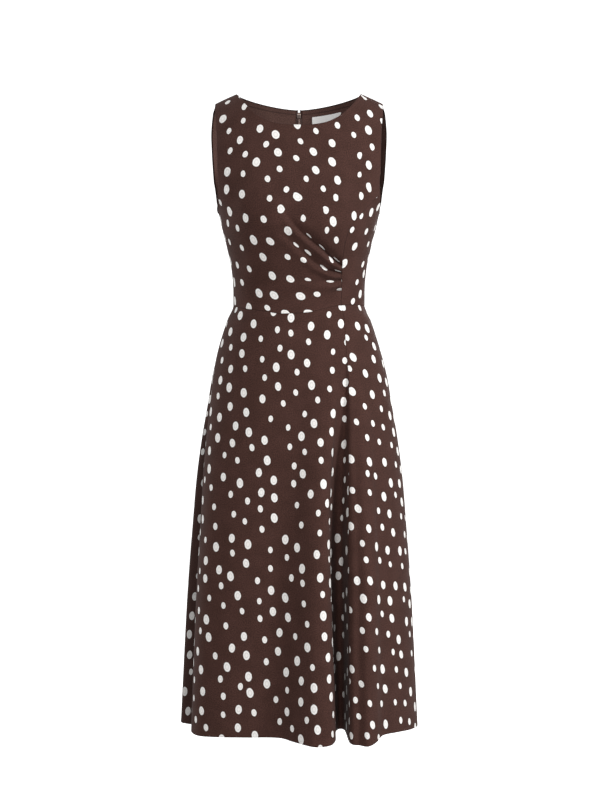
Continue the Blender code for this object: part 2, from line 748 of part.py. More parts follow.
def zip_tape():
    """Tape with its coil, from the slider to the zip's foot below the waist."""
    share = np.linspace(0, 1, ZIP_ROWS + 1)[:, None] ** ZIP_ROW_CROWDING
    drop = ZIP_TOP + (ZIP_BOTTOM - ZIP_TOP) * share
    drop = np.sort(np.concatenate([drop, np.array(ZIP_WIDENS, float)[:, None]]), axis=0)
    widening = np.clip((drop - ZIP_WIDENS[0]) / (ZIP_WIDENS[1] - ZIP_WIDENS[0]), 0, 1)
    half = ZIP_NARROW_HALF + (ZIP_WIDE_HALF - ZIP_NARROW_HALF) * widening
    foot = np.full_like(half, COIL_FOOT_HALF)
    x = np.concatenate([half, foot, np.full_like(half, COIL_HALF)], axis=1)
    x = np.concatenate([x, -x[:, ::-1]], axis=1)
    drop = np.broadcast_to(drop, x.shape)
    centre_back = np.full_like(x, -90.0)
    points, normals = skirt(centre_back, drop), outward(skirt, centre_back, drop)
    points[..., 0] += x
    rise = np.where(np.abs(x) <= COIL_HALF, COIL_RISE, 0)[..., None]
    outer = points - (WALL + TAPE_GAP) * normals
    return outer, outer - (TAPE_WALL + rise) * normals


def back_frame(drop):
    """Point and directions on the centre back: across, down the cloth, outward."""
    level = np.array([float(drop)])
    centre = np.array([-90.0])
    point = bodice(centre, level)[0]
    normal = outward(bodice, centre, level)[0]
    normal[0] = 0
    normal /= np.linalg.norm(normal)
    across = np.array([1.0, 0.0, 0.0])
    down = np.cross(across, normal)
    if down[2] > 0:
        down = -down
    return point, down, normal


def local_matrix(point, down, normal):
    """Local axes: X across, Y outward from the cloth, Z up along it."""
    across = np.array([1.0, 0.0, 0.0])
    matrix = Matrix((across, normal, -down)).transposed().to_4x4()
    matrix.translation = Vector(point * MM)
    return matrix


def block(shape, size, centre):
    """Adds a box to a bmesh: size and centre in local millimetres."""
    scale = Matrix.Diagonal((size[0] * MM, size[1] * MM, size[2] * MM, 1))
    place = Matrix.Translation(Vector(centre) * MM)
    bmesh.ops.create_cube(shape, size=1, matrix=place @ scale)


def bar_across(shape, radius, length, centre, sides=12):
    """Adds a round bar that runs across the dress."""
    turn = Matrix.Rotation(math.pi / 2, 4, "Y")
    place = Matrix.Translation(Vector(centre) * MM)
    bmesh.ops.create_cone(shape, cap_ends=True, segments=sides, radius1=radius * MM,
                          radius2=radius * MM, depth=length * MM, matrix=place @ turn)


def solid_from(name, build, collection):
    shape = bmesh.new()
    build(shape)
    mesh = bpy.data.meshes.new(name)
    shape.to_mesh(mesh)
    shape.free()
    piece = bpy.data.objects.new(name, mesh)
    collection.objects.link(piece)
    return piece


def join_to(piece, other, operation="UNION"):
    """Adds another object to a piece, or cuts it out, and keeps it as a hidden guide."""
    other.hide_render = True
    other.display_type = "WIRE"
    joint = piece.modifiers.new(other.name, "BOOLEAN")
    joint.operation = operation
    joint.object = other


def pull_direction():
    """From the pin down to where the tab's end lies just off the cloth."""
    point, _, normal = back_frame(PULL_PIN_DROP)
    pin = point + PULL_PIN_STAND * normal
    foot, _, foot_normal = back_frame(PULL_PIN_DROP + PULL_LENGTH - PULL_TIP_SHORT)
    direction = foot + PULL_TIP_STAND * foot_normal - pin
    return pin, direction / np.linalg.norm(direction)


def zip_slider(material):
    point, down, normal = back_frame(SLIDER_DROP)
    matrix = local_matrix(point, down, normal)
    pin = matrix.inverted() @ Vector(pull_direction()[0] * MM) / MM
    across, tall, thick = SLIDER_SIZE
    inner_face = -(WALL + SLIDER_FACE)
    cheek_x = PULL_EYE_WIDTH / 2 + CHEEK_GAP + CHEEK_THICK / 2
    cheek_foot = SLIDER_PLATE_STAND + CHEEK_SINK
    cheek_deep = pin.y + PULL_PIN_RADIUS + CHEEK_RIM - cheek_foot

    body = solid_from("zip_slider", lambda shape: block(
        shape, (across, thick, tall), (0, inner_face - thick / 2, 0)), dress)
    bevel = body.modifiers.new("round edges", "BEVEL")
    bevel.width = SLIDER_EDGE * MM
    bevel.segments = 2
    plate_y = SLIDER_PLATE_STAND + SLIDER_PLATE[2] / 2
    stem_foot = inner_face - SLIDER_LAP
    stem = solid_from("slider_stem", lambda shape: block(
        shape, (SLIDER_NECK[0], plate_y - stem_foot, SLIDER_NECK[1]),
        (0, (plate_y + stem_foot) / 2, pin.z)), guides)
    plate = solid_from("slider_plate", lambda shape: block(
        shape, (SLIDER_PLATE[0], SLIDER_PLATE[2], SLIDER_PLATE[1]), (0, plate_y, pin.z)), guides)
    join_to(body, stem)
    join_to(body, plate)
    for side, word in ((-1, "right"), (1, "left")):
        cheek = solid_from("slider_cheek_" + word, lambda shape: block(
            shape, (CHEEK_THICK, cheek_deep, CHEEK_TALL),
            (side * cheek_x, cheek_foot + cheek_deep / 2, pin.z)), guides)
        join_to(body, cheek)
    bar = solid_from("slider_pin", lambda shape: bar_across(
        shape, PULL_PIN_RADIUS, 2 * cheek_x, (0, pin.y, pin.z)), guides)
    join_to(body, bar)
    for piece in [body] + [step.object for step in body.modifiers if step.type == "BOOLEAN"]:
        piece.matrix_world = matrix
    body.data.materials.append(material)


def zip_pull(material):
    """A flat drop-shaped tab with a round eye that turns on the slider's pin."""
    pin, direction = pull_direction()
    across = np.array([1.0, 0.0, 0.0])
    face = np.cross(across, direction)
    if face[1] < 0:
        face = -face
    matrix = Matrix((across, face, -direction)).transposed().to_4x4()
    matrix.translation = Vector(pin * MM)

    def flat_tab(shape):
        left = []
        right = []
        for along, half in PULL_OUTLINE:
            left.append(shape.verts.new((-half * MM, PULL_THICK / 2 * MM, -along * MM)))
            right.append(shape.verts.new((half * MM, PULL_THICK / 2 * MM, -along * MM)))
        face_loop = shape.faces.new(left + right[::-1])
        moved = bmesh.ops.extrude_face_region(shape, geom=[face_loop])["geom"]
        verts = [item for item in moved if isinstance(item, bmesh.types.BMVert)]
        bmesh.ops.translate(shape, verts=verts, vec=(0, -PULL_THICK * MM, 0))
        bmesh.ops.recalc_face_normals(shape, faces=shape.faces)

    tab = solid_from("zip_pull", flat_tab, dress)
    eye = solid_from("pull_eye", lambda shape: bar_across(
        shape, PULL_EYE_OUTER, PULL_EYE_WIDTH, (0, 0, 0), EYE_SIDES), guides)
    join_to(tab, eye)
    hole = solid_from("pull_hole", lambda shape: bar_across(
        shape, PULL_EYE_INNER, 2 * PULL_EYE_WIDTH, (0, 0, 0), EYE_SIDES), guides)
    join_to(tab, hole, "DIFFERENCE")
    for piece in (tab, eye, hole):
        piece.matrix_world = matrix
    tab.data.materials.append(material)


# --- materials and assembly ---------------------------------------------------------------

def painted(name, colour, roughness, metallic=0.0):
    material = bpy.data.materials.new(name)
    material.use_nodes = True
    shader = material.node_tree.nodes["Principled BSDF"]
    shader.inputs["Base Color"].default_value = (*colour, 1)
    shader.inputs["Roughness"].default_value = roughness
    shader.inputs["Metallic"].default_value = metallic
    material.diffuse_color = (*colour, 1)
    return material


for old in list(bpy.data.objects):
    bpy.data.objects.remove(old)

dress = bpy.data.collections.new("dress")
guides = bpy.data.collections.new("guides")
for group in (dress, guides):
    bpy.context.scene.collection.children.link(group)

shell_cloth = painted("printed_crepe", BROWN, 0.85)
facing_cloth = painted("plain_facing", PLAIN_BROWN, 0.8)
label_cloth = painted("label_satin", LABEL_GREY, 0.6)
zip_cloth = painted("zip_tape", PLAIN_BROWN, 0.75)
zip_paint = painted("zip_paint", PAINTED_BROWN, 0.4, 0.3)

FRONT_SKIRT_COLUMNS = 42
SIDE_SKIRT_COLUMNS = 15
BACK_SKIRT_COLUMNS = 16

wall("front_bodice", front_bodice(), shell_cloth)
wall("side_front_bodice", side_front_bodice(), shell_cloth)
wall("front_skirt", skirt_panel(180, HEM_SEAM_ANGLE, FRONT_SKIRT_COLUMNS), shell_cloth)
wall("side_front_skirt", skirt_panel(HEM_SEAM_ANGLE, 0, SIDE_SKIRT_COLUMNS), shell_cloth)
wall("back_skirt_left", skirt_panel(0, -90, BACK_SKIRT_COLUMNS), shell_cloth)
wall("back_skirt_right", skirt_panel(-90, -180, BACK_SKIRT_COLUMNS), shell_cloth)
for hand, sign in (("left", 1), ("right", -1)):
    wall("back_bodice_" + hand, back_bodice(sign), shell_cloth)
    wall("back_neck_facing_" + hand, back_neck_facing(sign), facing_cloth)
    wall("armhole_facing_" + hand, armhole_facing(sign), facing_cloth, loop=True)
wall("label", label(), label_cloth)
wall("zip", zip_tape(), zip_cloth)
zip_slider(zip_paint)
zip_pull(zip_paint)
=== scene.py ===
"""The visual model of a sleeveless fit-and-flare midi dress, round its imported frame.

Every panel of cloth is worked out again from the same sections as its solid, in
millimetres, finer and with the small creases that the solids leave out, and then
becomes a thin shell with turned edges. Each panel is also laid out flat, as it was
cut, so that the print lies on it in cloth coordinates and stops at its seams.

A few values differ from the solids' own: the fold by the gore seam and the cleft at
the wearer's right side seam are deeper, the waist seam lies lower near the gore seam,
and so do the pleats' creases on the bodice.

Frame: +X is the wearer's left, the front faces -Y, +Z is up, and the origin is
midway between the shoulder seams. "Drop" is the distance below the origin, and an
angle goes round from 0 at the left side seam through 90 at centre front.
"""
import math

import bpy
import numpy as np
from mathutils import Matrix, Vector


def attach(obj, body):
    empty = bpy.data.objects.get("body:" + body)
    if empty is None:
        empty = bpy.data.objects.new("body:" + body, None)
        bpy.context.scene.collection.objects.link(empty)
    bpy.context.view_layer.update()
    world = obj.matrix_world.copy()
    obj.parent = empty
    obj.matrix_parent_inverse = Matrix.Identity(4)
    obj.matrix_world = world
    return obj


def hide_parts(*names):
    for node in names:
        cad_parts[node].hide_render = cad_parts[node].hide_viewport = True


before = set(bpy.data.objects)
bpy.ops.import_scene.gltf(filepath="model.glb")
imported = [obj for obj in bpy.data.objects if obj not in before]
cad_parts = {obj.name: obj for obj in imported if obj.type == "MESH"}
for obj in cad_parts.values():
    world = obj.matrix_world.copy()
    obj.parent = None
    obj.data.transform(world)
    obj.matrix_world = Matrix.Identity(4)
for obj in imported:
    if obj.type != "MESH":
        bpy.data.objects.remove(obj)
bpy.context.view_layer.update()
MM = 0.001
TINY = 1e-9  # kept under divisors
FAR = 9.0  # no seam or crease is near
RIGHT_SIDE = 180.0  # angles of the wearer's right side seam and of centre back
CENTRE_BACK = -90.0

# The solids' cloth layers, from the outside in.
WALL = 1.3
LAYER_GAP = 0.3
FACING_GAP = 1.7  # the facings hang a little clear of the shell's flat facets
FACING_WALL = 1.0

# The form under the cloth: one row for each level.
BODY_COLUMNS = ("drop", "half_width", "front", "back", "middle", "squareness")
BODY = (
    (-24, 190.0, 74, 70, 0, 2.40),
    (10, 190.0, 77, 73, 0, 2.40),
    (60, 190.0, 82, 80, 0, 2.40),
    (100, 188.0, 92, 90, -1, 2.40),
    (150, 180.0, 106, 99, -2, 2.40),
    (190, 167.5, 115, 101, -4, 2.40),
    (217, 152.5, 119, 100, -5, 2.40),
    (247, 145.2, 119, 96, -5, 2.40),
    (285, 135.6, 110, 89, -5, 2.35),
    (323, 127.8, 99, 82, -5, 2.30),
    (361, 124.7, 90, 78, -5, 2.25),
    (390, 124.5, 86, 77, -5, 2.20),
    (418, 135.6, 90, 84, -5, 2.20),
    (456, 148.3, 98, 98, -4, 2.15),
    (494, 159.5, 105, 112, -3, 2.10),
    (532, 168.3, 111, 122, -2, 2.10),
    (570, 174.5, 116, 130, -1, 2.10),
    (646, 187.2, 124, 140, 0, 2.05),
    (722, 196.5, 131, 148, 0, 2.00),
    (798, 202.5, 137, 153, 0, 2.00),
    (950, 213.5, 143, 162, 0, 2.00),
    (1190, 225.5, 150, 172, 0, 2.00),
)

# Bust cups: two soft rises on the front.
BUST_X = 75
BUST_DROP = 238
BUST_RISE = 8
BUST_RADIUS = 46

# Neck and shoulders.
NECK_HALF_WIDTH = 118
NECK_POINT_DROP = -10.5  # where the neckline meets the shoulder seam
FRONT_NECK_DEPTH = 71
BACK_NECK_DEPTH = 18
FRONT_NECK_BEND = 3.0  # higher is squarer
BACK_NECK_BEND = 1.5
SHOULDER_TIP_X = 159
SHOULDER_CREST = -40.8  # the shoulder line carried on to the centre
SHOULDER_BEND = 1.6
SHOULDER_RIM = 1.0  # this close to it the cloth's normal has no part to the front
FRONT_SHOULDER_ROUND = 105
BACK_SHOULDER_ROUND = 85

# Armholes: x of the cut edge down to the turn, then a round bottom.
FRONT_ARMHOLE = ((-24, 159), (20, 158.5), (60, 155), (100, 153), (150, 151.5))
BACK_ARMHOLE = (
    (-24, 159), (6, 159.5), (24, 165.5), (65, 169.5), (98, 168.5), (124, 167), (150, 165),
)
ARMHOLE_TURN = 150
UNDERARM = 216

# The wearer's left princess seam runs from the armhole to the waist and on as the
# gore seam to the hem: drop and x.
PRINCESS_TOP = 186
PRINCESS_TOP_X = 148
PRINCESS = (
    (219, 122), (250, 97), (268, 88.5), (289, 83.5), (316, 80), (389, 78.5),
    (460, 86), (535, 92), (660, 94), (789, 94.5), (1190, 95),
)

# Waist seam: drop by angle on the front, and by the turn from centre back behind.
FRONT_WAIST = (
    (0, 393), (30, 392.5), (55, 395), (70, 400.5), (76, 404), (85, 408.8), (102, 410.7),
    (117, 406), (140, 400), (160, 395.5), (180, 393),
)
BACK_WAIST = ((0, 396), (45, 395), (90, 393))
WAIST = 395.0  # about where the seam lies, to start a search from
SETTLE_ROUNDS = 14  # such searches' steps
BISECTIONS = 40

# Draped pleats, let into the princess seam. Each row: x and drop along the crease
# from the seam outwards, how deep it is pressed, how wide the slope above it is, the
# height of the ridge below it, how fast it fades (higher keeps it deep longer), and
# the degrees of cloth that it takes in.
PLEATS = (
    (((82, 323), (76, 318.5), (65, 312), (45, 296), (24, 280), (8, 267), (-9, 250),
      (-20, 236), (-31, 225)),
     12.0, 5.5, 4.5, 2.4, 14),
    (((81, 336), (72, 335), (57, 332), (45, 326.5), (29, 317), (10, 302), (-16, 280), (-46, 255)),
     10.5, 7.5, 4.5, 1.3, 11),
    (((81, 347), (72, 349.5), (63, 352), (35, 353), (10, 351), (-26, 349)), 8.0, 5.0, 3.2, 1.0, 9),
    (((79, 366), (70, 368.5), (60, 373.5), (45, 382), (30, 389.5), (18, 394)), 6.5, 4.5, 2.4, 1.0, 9),
)
PLEAT_UNDER = 2.8  # the slope below a crease is this wide
PLEAT_ROUND = 0.7  # and the crease's own line is this round
PLEAT_RIDGE_PLACE = 9.0  # the ridge's crest lies this far below it
PLEAT_RIDGE_WIDTH = 6.5
PLEAT_SEAM_FADE = 5  # a pleat flattens into the gore seam over this distance
PLEAT_WAIST_FADE = 8  # and into the waist seam over this one
PLEAT_SEAM_BEND = 0.7
PLEAT_OPENS = 0.8  # a pleat's slopes are wider by this share at its tip
PLEAT_PROFILE = 1.35
CREASE_SHADE_ABOVE = 0.55  # the painted shade along its crease darkens this share of the slopes
CREASE_SHADE_UNDER = 0.6

# Skirt folds: plan position of each fold line at knee level and at the hem.
FOLD_START = 440
FOLD_KNEE = 790
HEM = 1190
HEM_SEAM_ANGLE = 64.8
FOLD_COLUMNS = ("angle", "knee_x", "knee_y", "hem_x", "hem_y", "hem_drop")
FOLDS = (
    (-180, -168, -8, -178, -12, 1188),
    (-172, -201, 16, -225, 24, 1188),
    (-160, -190, 54, -212, 66, 1187),
    (-146, -164, 80, -178, 84, 1184),
    (-132, -136, 116, -154, 140, 1187),
    (-116, -86, 132, -96, 141, 1184),
    (-101, -38, 153, -43, 176, 1188),
    (-90, 0, 149, 0, 160, 1185),
    (-76, 48, 152, 56, 176, 1188),
    (-62, 93, 130, 102, 136, 1184),
    (-47, 138, 116, 156, 140, 1187),
    (-32, 168, 76, 184, 80, 1184),
    (-16, 193, 46, 217, 54, 1187),
    (0, 202.5, 0, 225.5, 0, 1187),
    (22, 188, -50, 207, -60, 1184),
    (36, 164, -82, 179, -95, 1182),
    (45, 145, -100, 153, -122, 1182),
    (50, 136, -114, 141, -145, 1189),
    (56, 121, -126, 125, -159, 1194),
    (61, 107, -125, 109, -153, 1193),
    (64.8, 90, -120, 91, -144, 1190),
    (66.3, 79, -92, 84, -82, 1181),
    (68, 67, -92, 73, -76, 1180),
    (70, 57, -113, 65, -112, 1183),
    (72.5, 56, -133, 67, -141, 1186),
    (75, 49, -147, 59, -165, 1190),
    (80, 33, -152, 36, -174, 1192),
    (84, 17, -148, 20, -172, 1191),
    (92, -10, -134, -9, -150, 1188),
    (100, -36, -127, -37, -128, 1185),
    (117, -90, -121, -100, -125, 1185),
    (135, -139, -105, -154, -116, 1186),
    (150, -171, -82, -188, -97, 1187),
    (163, -184, -44, -201, -60, 1186),
    (180, -168, -8, -178, -12, 1188),
)

# Facings, label and zip.
NECK_FACING_DROP = 62
NECK_FACING_SHOULDER_X = 134
FACING_INSET = 0.8  # facings stop this far short of the shell's edge
NECK_FACING_CLEAR = 0.5  # of the shoulder's highest line
NECK_FACING_BEND = 3  # its lower edge's curve
NECK_FACING_ROW_BEND = 1.3  # rows lie closer near the cut edge
UNDERSTITCH_BELOW = 6.5  # a row of stitches under the edge
UNDERSTITCH_WIDTH = 1.5
UNDERSTITCH_SHADE = 0.25
ARMHOLE_FACING_WIDTH = 20
ARMHOLE_FACING_ROW_BEND = 1.4
ZIP_EDGE_X = 6.2
LABEL_LEFT_X = 26
LABEL_RIGHT_X = 82
LABEL_BELOW_NECK = 14
LABEL_HEIGHT = 20
LABEL_GAP = 2 * LAYER_GAP
ZIP_TOP = 22.4
ZIP_BOTTOM = 560
ZIP_NARROW_HALF = 5.6  # between the facing's two edges
ZIP_WIDE_HALF = 12.0
ZIP_WIDENS = (66, 74)
COIL_START = 23.6
COIL_HALF = 2.0
COIL_RISE = 1.1
COIL_PITCH = 1.3
COIL_STEPS = 9  # to a turn
COIL_YARN = 0.4  # its half thickness
COIL_SIDES = 5
TAPE_THICKNESS = 0.8
TAPE_GAP = 2.3  # clear of the shell's facets where the back turns at the waist
NECK_OPENING_HALF = 4.0  # the two halves part a little above the slider
NECK_OPENING_DEPTH = 15
NECK_OPENING_BEND = 1.2
NORMAL_ANGLE = 0.1  # normals are taken over steps this small
NORMAL_DROP = 0.4


# --- curves through the tables ---

def cubic(knots, values, slopes, at):
    at = np.clip(at, knots[0], knots[-1])
    k = np.clip(np.searchsorted(knots, at, side="right") - 1, 0, len(knots) - 2)
    step = knots[k + 1] - knots[k]
    u = (at - knots[k]) / step
    start = values[k] * (1 + 2 * u) * (1 - u) ** 2 + slopes[k] * step * u * (1 - u) ** 2
    end = values[k + 1] * u * u * (3 - 2 * u) + slopes[k + 1] * step * u * u * (u - 1)
    return start + end


def steady(knots, values, at):
    """A smooth curve through the table that never overshoots a row."""
    knots = np.asarray(knots, float)
    values = np.asarray(values, float)
    rise = np.diff(values) / np.diff(knots)
    slopes = np.concatenate([rise[:1], np.zeros(len(rise) - 1), rise[-1:]])
    for k in range(1, len(rise)):
        if rise[k - 1] * rise[k] > 0:
            slopes[k] = 2 * rise[k - 1] * rise[k] / (rise[k - 1] + rise[k])
    return cubic(knots, values, slopes, at)


def rounded(knots, values, at):
    """A closed smooth curve through the table: the last row repeats the first."""
    knots = np.asarray(knots, float)
    values = np.asarray(values, float)
    before = knots[-2] - (knots[-1] - knots[0])
    after = knots[1] + (knots[-1] - knots[0])
    long_knots = np.concatenate([[before], knots, [after]])
    long_values = np.concatenate([values[-2:-1], values, values[1:2]])
    slopes = (long_values[2:] - long_values[:-2]) / (long_knots[2:] - long_knots[:-2])
    return cubic(knots, values, slopes, at)


def column(table, names, name):
    return [row[names.index(name)] for row in table]


def pair_curve(rows, at):
    return steady([row[0] for row in rows], [row[1] for row in rows], at)


# --- the dress's outer form ---

def body_size(drop):
    levels = column(BODY, BODY_COLUMNS, "drop")
    return [steady(levels, column(BODY, BODY_COLUMNS, name), drop) for name in BODY_COLUMNS[1:]]


def angle_at(x, drop):
    """Angle of the front point that lies this far across, on a level."""
    half_width, _, _, _, squareness = body_size(drop)
    share = np.clip(np.abs(x) / half_width, 0, 1)
    turn = np.degrees(np.arccos(share ** (squareness / 2)))
    return np.where(np.asarray(x) >= 0, turn, 180 - turn)


def shoulder_drop(x):
    fall = NECK_POINT_DROP - SHOULDER_CREST
    return SHOULDER_CREST + fall * (np.abs(x) / NECK_HALF_WIDTH) ** SHOULDER_BEND


def neck_drop(x, front):
    share = np.clip(np.abs(x) / NECK_HALF_WIDTH, 0, 1)
    if front:
        return NECK_POINT_DROP + FRONT_NECK_DEPTH * (1 - share ** FRONT_NECK_BEND)
    return NECK_POINT_DROP + BACK_NECK_DEPTH * (1 - share ** BACK_NECK_BEND)


def ring(angle, drop):
    """The plain form: rings with flat-sided curves, closed over the shoulders."""
    half_width, front, back, middle, squareness = body_size(drop)
    turn = np.radians(angle)
    across = np.sign(np.cos(turn)) * np.abs(np.cos(turn)) ** (2 / squareness)
    deep = np.sign(np.sin(turn)) * np.abs(np.sin(turn)) ** (2 / squareness)
    x = half_width * across
    shoulder_round = np.where(deep > 0, FRONT_SHOULDER_ROUND, BACK_SHOULDER_ROUND)
    under = np.clip((drop - shoulder_drop(x)) / shoulder_round, 0, 1)
    cap = np.sqrt(1 - (1 - under) ** 2)
    y = middle - np.where(deep > 0, front, back) * deep * cap
    return x, y


def from_line(points, x, drop, count=24):
    """Distance from a smooth line, which side of it, and the share along it."""
    knots = np.arange(len(points), dtype=float)
    fine = np.linspace(0, len(points) - 1, count)
    run_x, run_drop = (steady(knots, [point[axis] for point in points], fine) for axis in (0, 1))
    nearest = np.full(np.broadcast(x, drop).shape, 1 / TINY)
    side = np.zeros(nearest.shape)
    share = np.zeros(nearest.shape)
    for k in range(count - 1):
        along = (run_x[k + 1] - run_x[k], run_drop[k + 1] - run_drop[k])
        u = ((x - run_x[k]) * along[0] + (drop - run_drop[k]) * along[1]) / math.hypot(*along) ** 2
        u = np.clip(u, 0, 1)
        off_x = x - run_x[k] - u * along[0]
        off_drop = drop - run_drop[k] - u * along[1]
        distance = np.hypot(off_x, off_drop)
        closer = distance < nearest
        nearest = np.where(closer, distance, nearest)
        side = np.where(closer, np.sign(off_drop * along[0] - off_x * along[1]), side)
        share = np.where(closer, (k + u) / (count - 1), share)
    return nearest, side, share


def pleat_relief(x, drop):
    """How far the draped pleats stand out from the plain form."""
    relief = np.zeros(np.broadcast(x, drop).shape)
    for points, depth, above, ridge, fade, _ in PLEATS:
        nearest, side, share = from_line(points, x, drop)
        stay = 1 - share ** fade
        slope = np.where(side > 0, above, PLEAT_UNDER) * (1 + PLEAT_OPENS * share)
        off = np.hypot(nearest, PLEAT_ROUND) - PLEAT_ROUND
        relief -= depth * stay * np.exp(-(off / slope) ** PLEAT_PROFILE)
        crest = (nearest * side + PLEAT_RIDGE_PLACE) / PLEAT_RIDGE_WIDTH
        relief += ridge * stay * np.exp(-crest ** 2)
    seam_x = pair_curve(((PRINCESS_TOP, PRINCESS_TOP_X),) + PRINCESS, drop)
    seam_fade = np.clip((seam_x - x) / PLEAT_SEAM_FADE, 0, 1) ** PLEAT_SEAM_BEND
    waist_fade = np.clip((waist_drop(angle_at(x, drop)) - drop) / PLEAT_WAIST_FADE, 0, 1)
    return relief * seam_fade * waist_fade


def bodice(angle, drop, pleated=True):
    """A point of the bodice's outer face, from an angle and a drop."""
    x, y = ring(angle, drop)
    on_front = np.sin(np.radians(angle)) > 0
    cups = sum(
        np.exp(-((x - cup_x) ** 2 + (drop - BUST_DROP) ** 2) / (2 * BUST_RADIUS ** 2))
        for cup_x in (-BUST_X, BUST_X)
    )
    rise = BUST_RISE * cups + (pleat_relief(x, drop) if pleated else 0)
    out = np.where(on_front, rise, 0)
    return np.stack([x, y - out, -drop * np.ones_like(x)], axis=-1)


def armhole_angle(drop, front):
    """Angle of the armhole's cut edge, positive on the front."""
    rows = FRONT_ARMHOLE if front else BACK_ARMHOLE
    upper = angle_at(pair_curve(rows, drop), np.minimum(drop, ARMHOLE_TURN))
    widest = math.sin(math.radians(float(angle_at(rows[-1][1], float(ARMHOLE_TURN)))))
    fall = np.clip((drop - ARMHOLE_TURN) / (UNDERARM - ARMHOLE_TURN), 0, 1)
    lower = np.degrees(np.arcsin(widest * np.sqrt(1 - fall ** 2)))
    edge = np.where(drop < ARMHOLE_TURN, upper, lower)
    return edge if front else -edge


def princess_angle(drop):
    top = float(armhole_angle(float(PRINCESS_TOP), True))
    rows = [(PRINCESS_TOP, top)]
    rows += [(level, float(angle_at(float(x), float(level)))) for level, x in PRINCESS]
    return pair_curve(rows, drop)


def waist_drop(angle):
    behind = pair_curve(BACK_WAIST, np.abs(angle - CENTRE_BACK))
    return np.where(angle < 0, behind, pair_curve(FRONT_WAIST, angle))


def skirt_angle(hem_angle, drop):
    """The gore seam drifts round the dress on its way up; the rest follows it."""
    seam = princess_angle(drop)
    behind_seam = hem_angle * seam / HEM_SEAM_ANGLE
    before_seam = 180 - (180 - hem_angle) * (180 - seam) / (180 - HEM_SEAM_ANGLE)
    front = np.where(hem_angle < HEM_SEAM_ANGLE, behind_seam, before_seam)
    return np.where(hem_angle < 0, hem_angle, front)


def fold_offsets(hem_angle, level, prefix):
    """Plan offset of the folds from the plain ring, at knee level or at the hem."""
    angles = np.array(column(FOLDS, FOLD_COLUMNS, "angle"), float)
    ring_x, ring_y = ring(skirt_angle(angles, float(level)), np.full(len(angles), float(level)))
    off_x = np.array(column(FOLDS, FOLD_COLUMNS, prefix + "_x"), float) - ring_x
    off_y = np.array(column(FOLDS, FOLD_COLUMNS, prefix + "_y"), float) - ring_y
    return rounded(angles, off_x, hem_angle), rounded(angles, off_y, hem_angle)


def grow(knee, hem, drop):
    """A fold opens smoothly from nothing, through its knee depth, to the hem."""
    upper = np.clip((drop - FOLD_START) / (FOLD_KNEE - FOLD_START), 0, 1)
    lower = np.clip((drop - FOLD_KNEE) / (HEM - FOLD_KNEE), 0, 1)
    slope = hem / (HEM - FOLD_START)
    above = knee * (3 - 2 * upper) * upper ** 2
    above += slope * (FOLD_KNEE - FOLD_START) * (upper - 1) * upper ** 2
    below = knee + (hem - knee) * (3 - 2 * lower) * lower ** 2
    below += slope * (HEM - FOLD_KNEE) * lower * (1 - lower) ** 2
    below += (hem - knee) * (lower - 1) * lower ** 2
    return np.where(drop < FOLD_KNEE, above, below)


def skirt(hem_angle, drop):
    """A point of the skirt's outer face, from its angle at the hem and its drop."""
    x, y = ring(skirt_angle(hem_angle, drop), drop)
    knee_x, knee_y = fold_offsets(hem_angle, FOLD_KNEE, "knee")
    hem_x, hem_y = fold_offsets(hem_angle, HEM, "hem")
    x = x + grow(knee_x, hem_x, drop)
    y = y + grow(knee_y, hem_y, drop)
    return np.stack([x, y, -drop * np.ones_like(x)], axis=-1)


def hem_drop(hem_angle):
    angles, drops = (column(FOLDS, FOLD_COLUMNS, name) for name in ("angle", "hem_drop"))
    return rounded(angles, drops, hem_angle)


def outward(surface, angle, drop):
    """Unit normals of a surface, pointing out of the dress."""
    across = surface(angle + NORMAL_ANGLE, drop) - surface(angle - NORMAL_ANGLE, drop)
    down = surface(angle, drop + NORMAL_DROP) - surface(angle, drop - NORMAL_DROP)
    normal = np.cross(across, down)
    on_shoulder = drop - shoulder_drop(surface(angle, drop)[..., 0]) < SHOULDER_RIM
    normal[..., 1] = np.where(on_shoulder, 0, normal[..., 1])
    return normal / np.linalg.norm(normal, axis=-1, keepdims=True)


def inside_layer(surface, angle, drop, depth):
    return surface(angle, drop) - depth * outward(surface, angle, drop)


def settle(edge_drop, place, start):
    """Drop at which each column reaches an edge that depends on where it is."""
    drop = start
    for _ in range(SETTLE_ROUNDS):
        drop = edge_drop(place(drop))
    return drop


# --- grids ---

FLATTEN_STEP = 6  # the layout is worked out on every sixth line
FLATTEN_ROUNDS = 40
LEAST_STIFFNESS = 0.05


def travelled(points):
    """Distance along a line of points, from its start."""
    return np.concatenate([[0], np.cumsum(np.linalg.norm(np.diff(points, axis=0), axis=1))])


def spacing(points, axis):
    """Mean distance along a grid's lines, from its first line."""
    steps = np.linalg.norm(np.diff(points, axis=axis), axis=-1).mean(axis=1 - axis)
    return np.concatenate([[0], np.cumsum(steps)])


def normals_of(points):
    """Unit normals of a grid of points."""
    across = np.gradient(points, axis=1)
    down = np.gradient(points, axis=0)
    normal = np.cross(across, down)
    return normal / np.maximum(np.linalg.norm(normal, axis=-1, keepdims=True), TINY)


def faces_inwards(points):
    return (normals_of(points)[..., :2] * points[..., :2]).sum() < 0


def turned_by(flat, angle):
    """Flat places turned round, by one angle or one for each."""
    cos, sin = np.cos(angle), np.sin(angle)
    x, y = flat[..., 0], flat[..., 1]
    return np.stack([cos * x - sin * y, sin * x + cos * y], axis=-1)


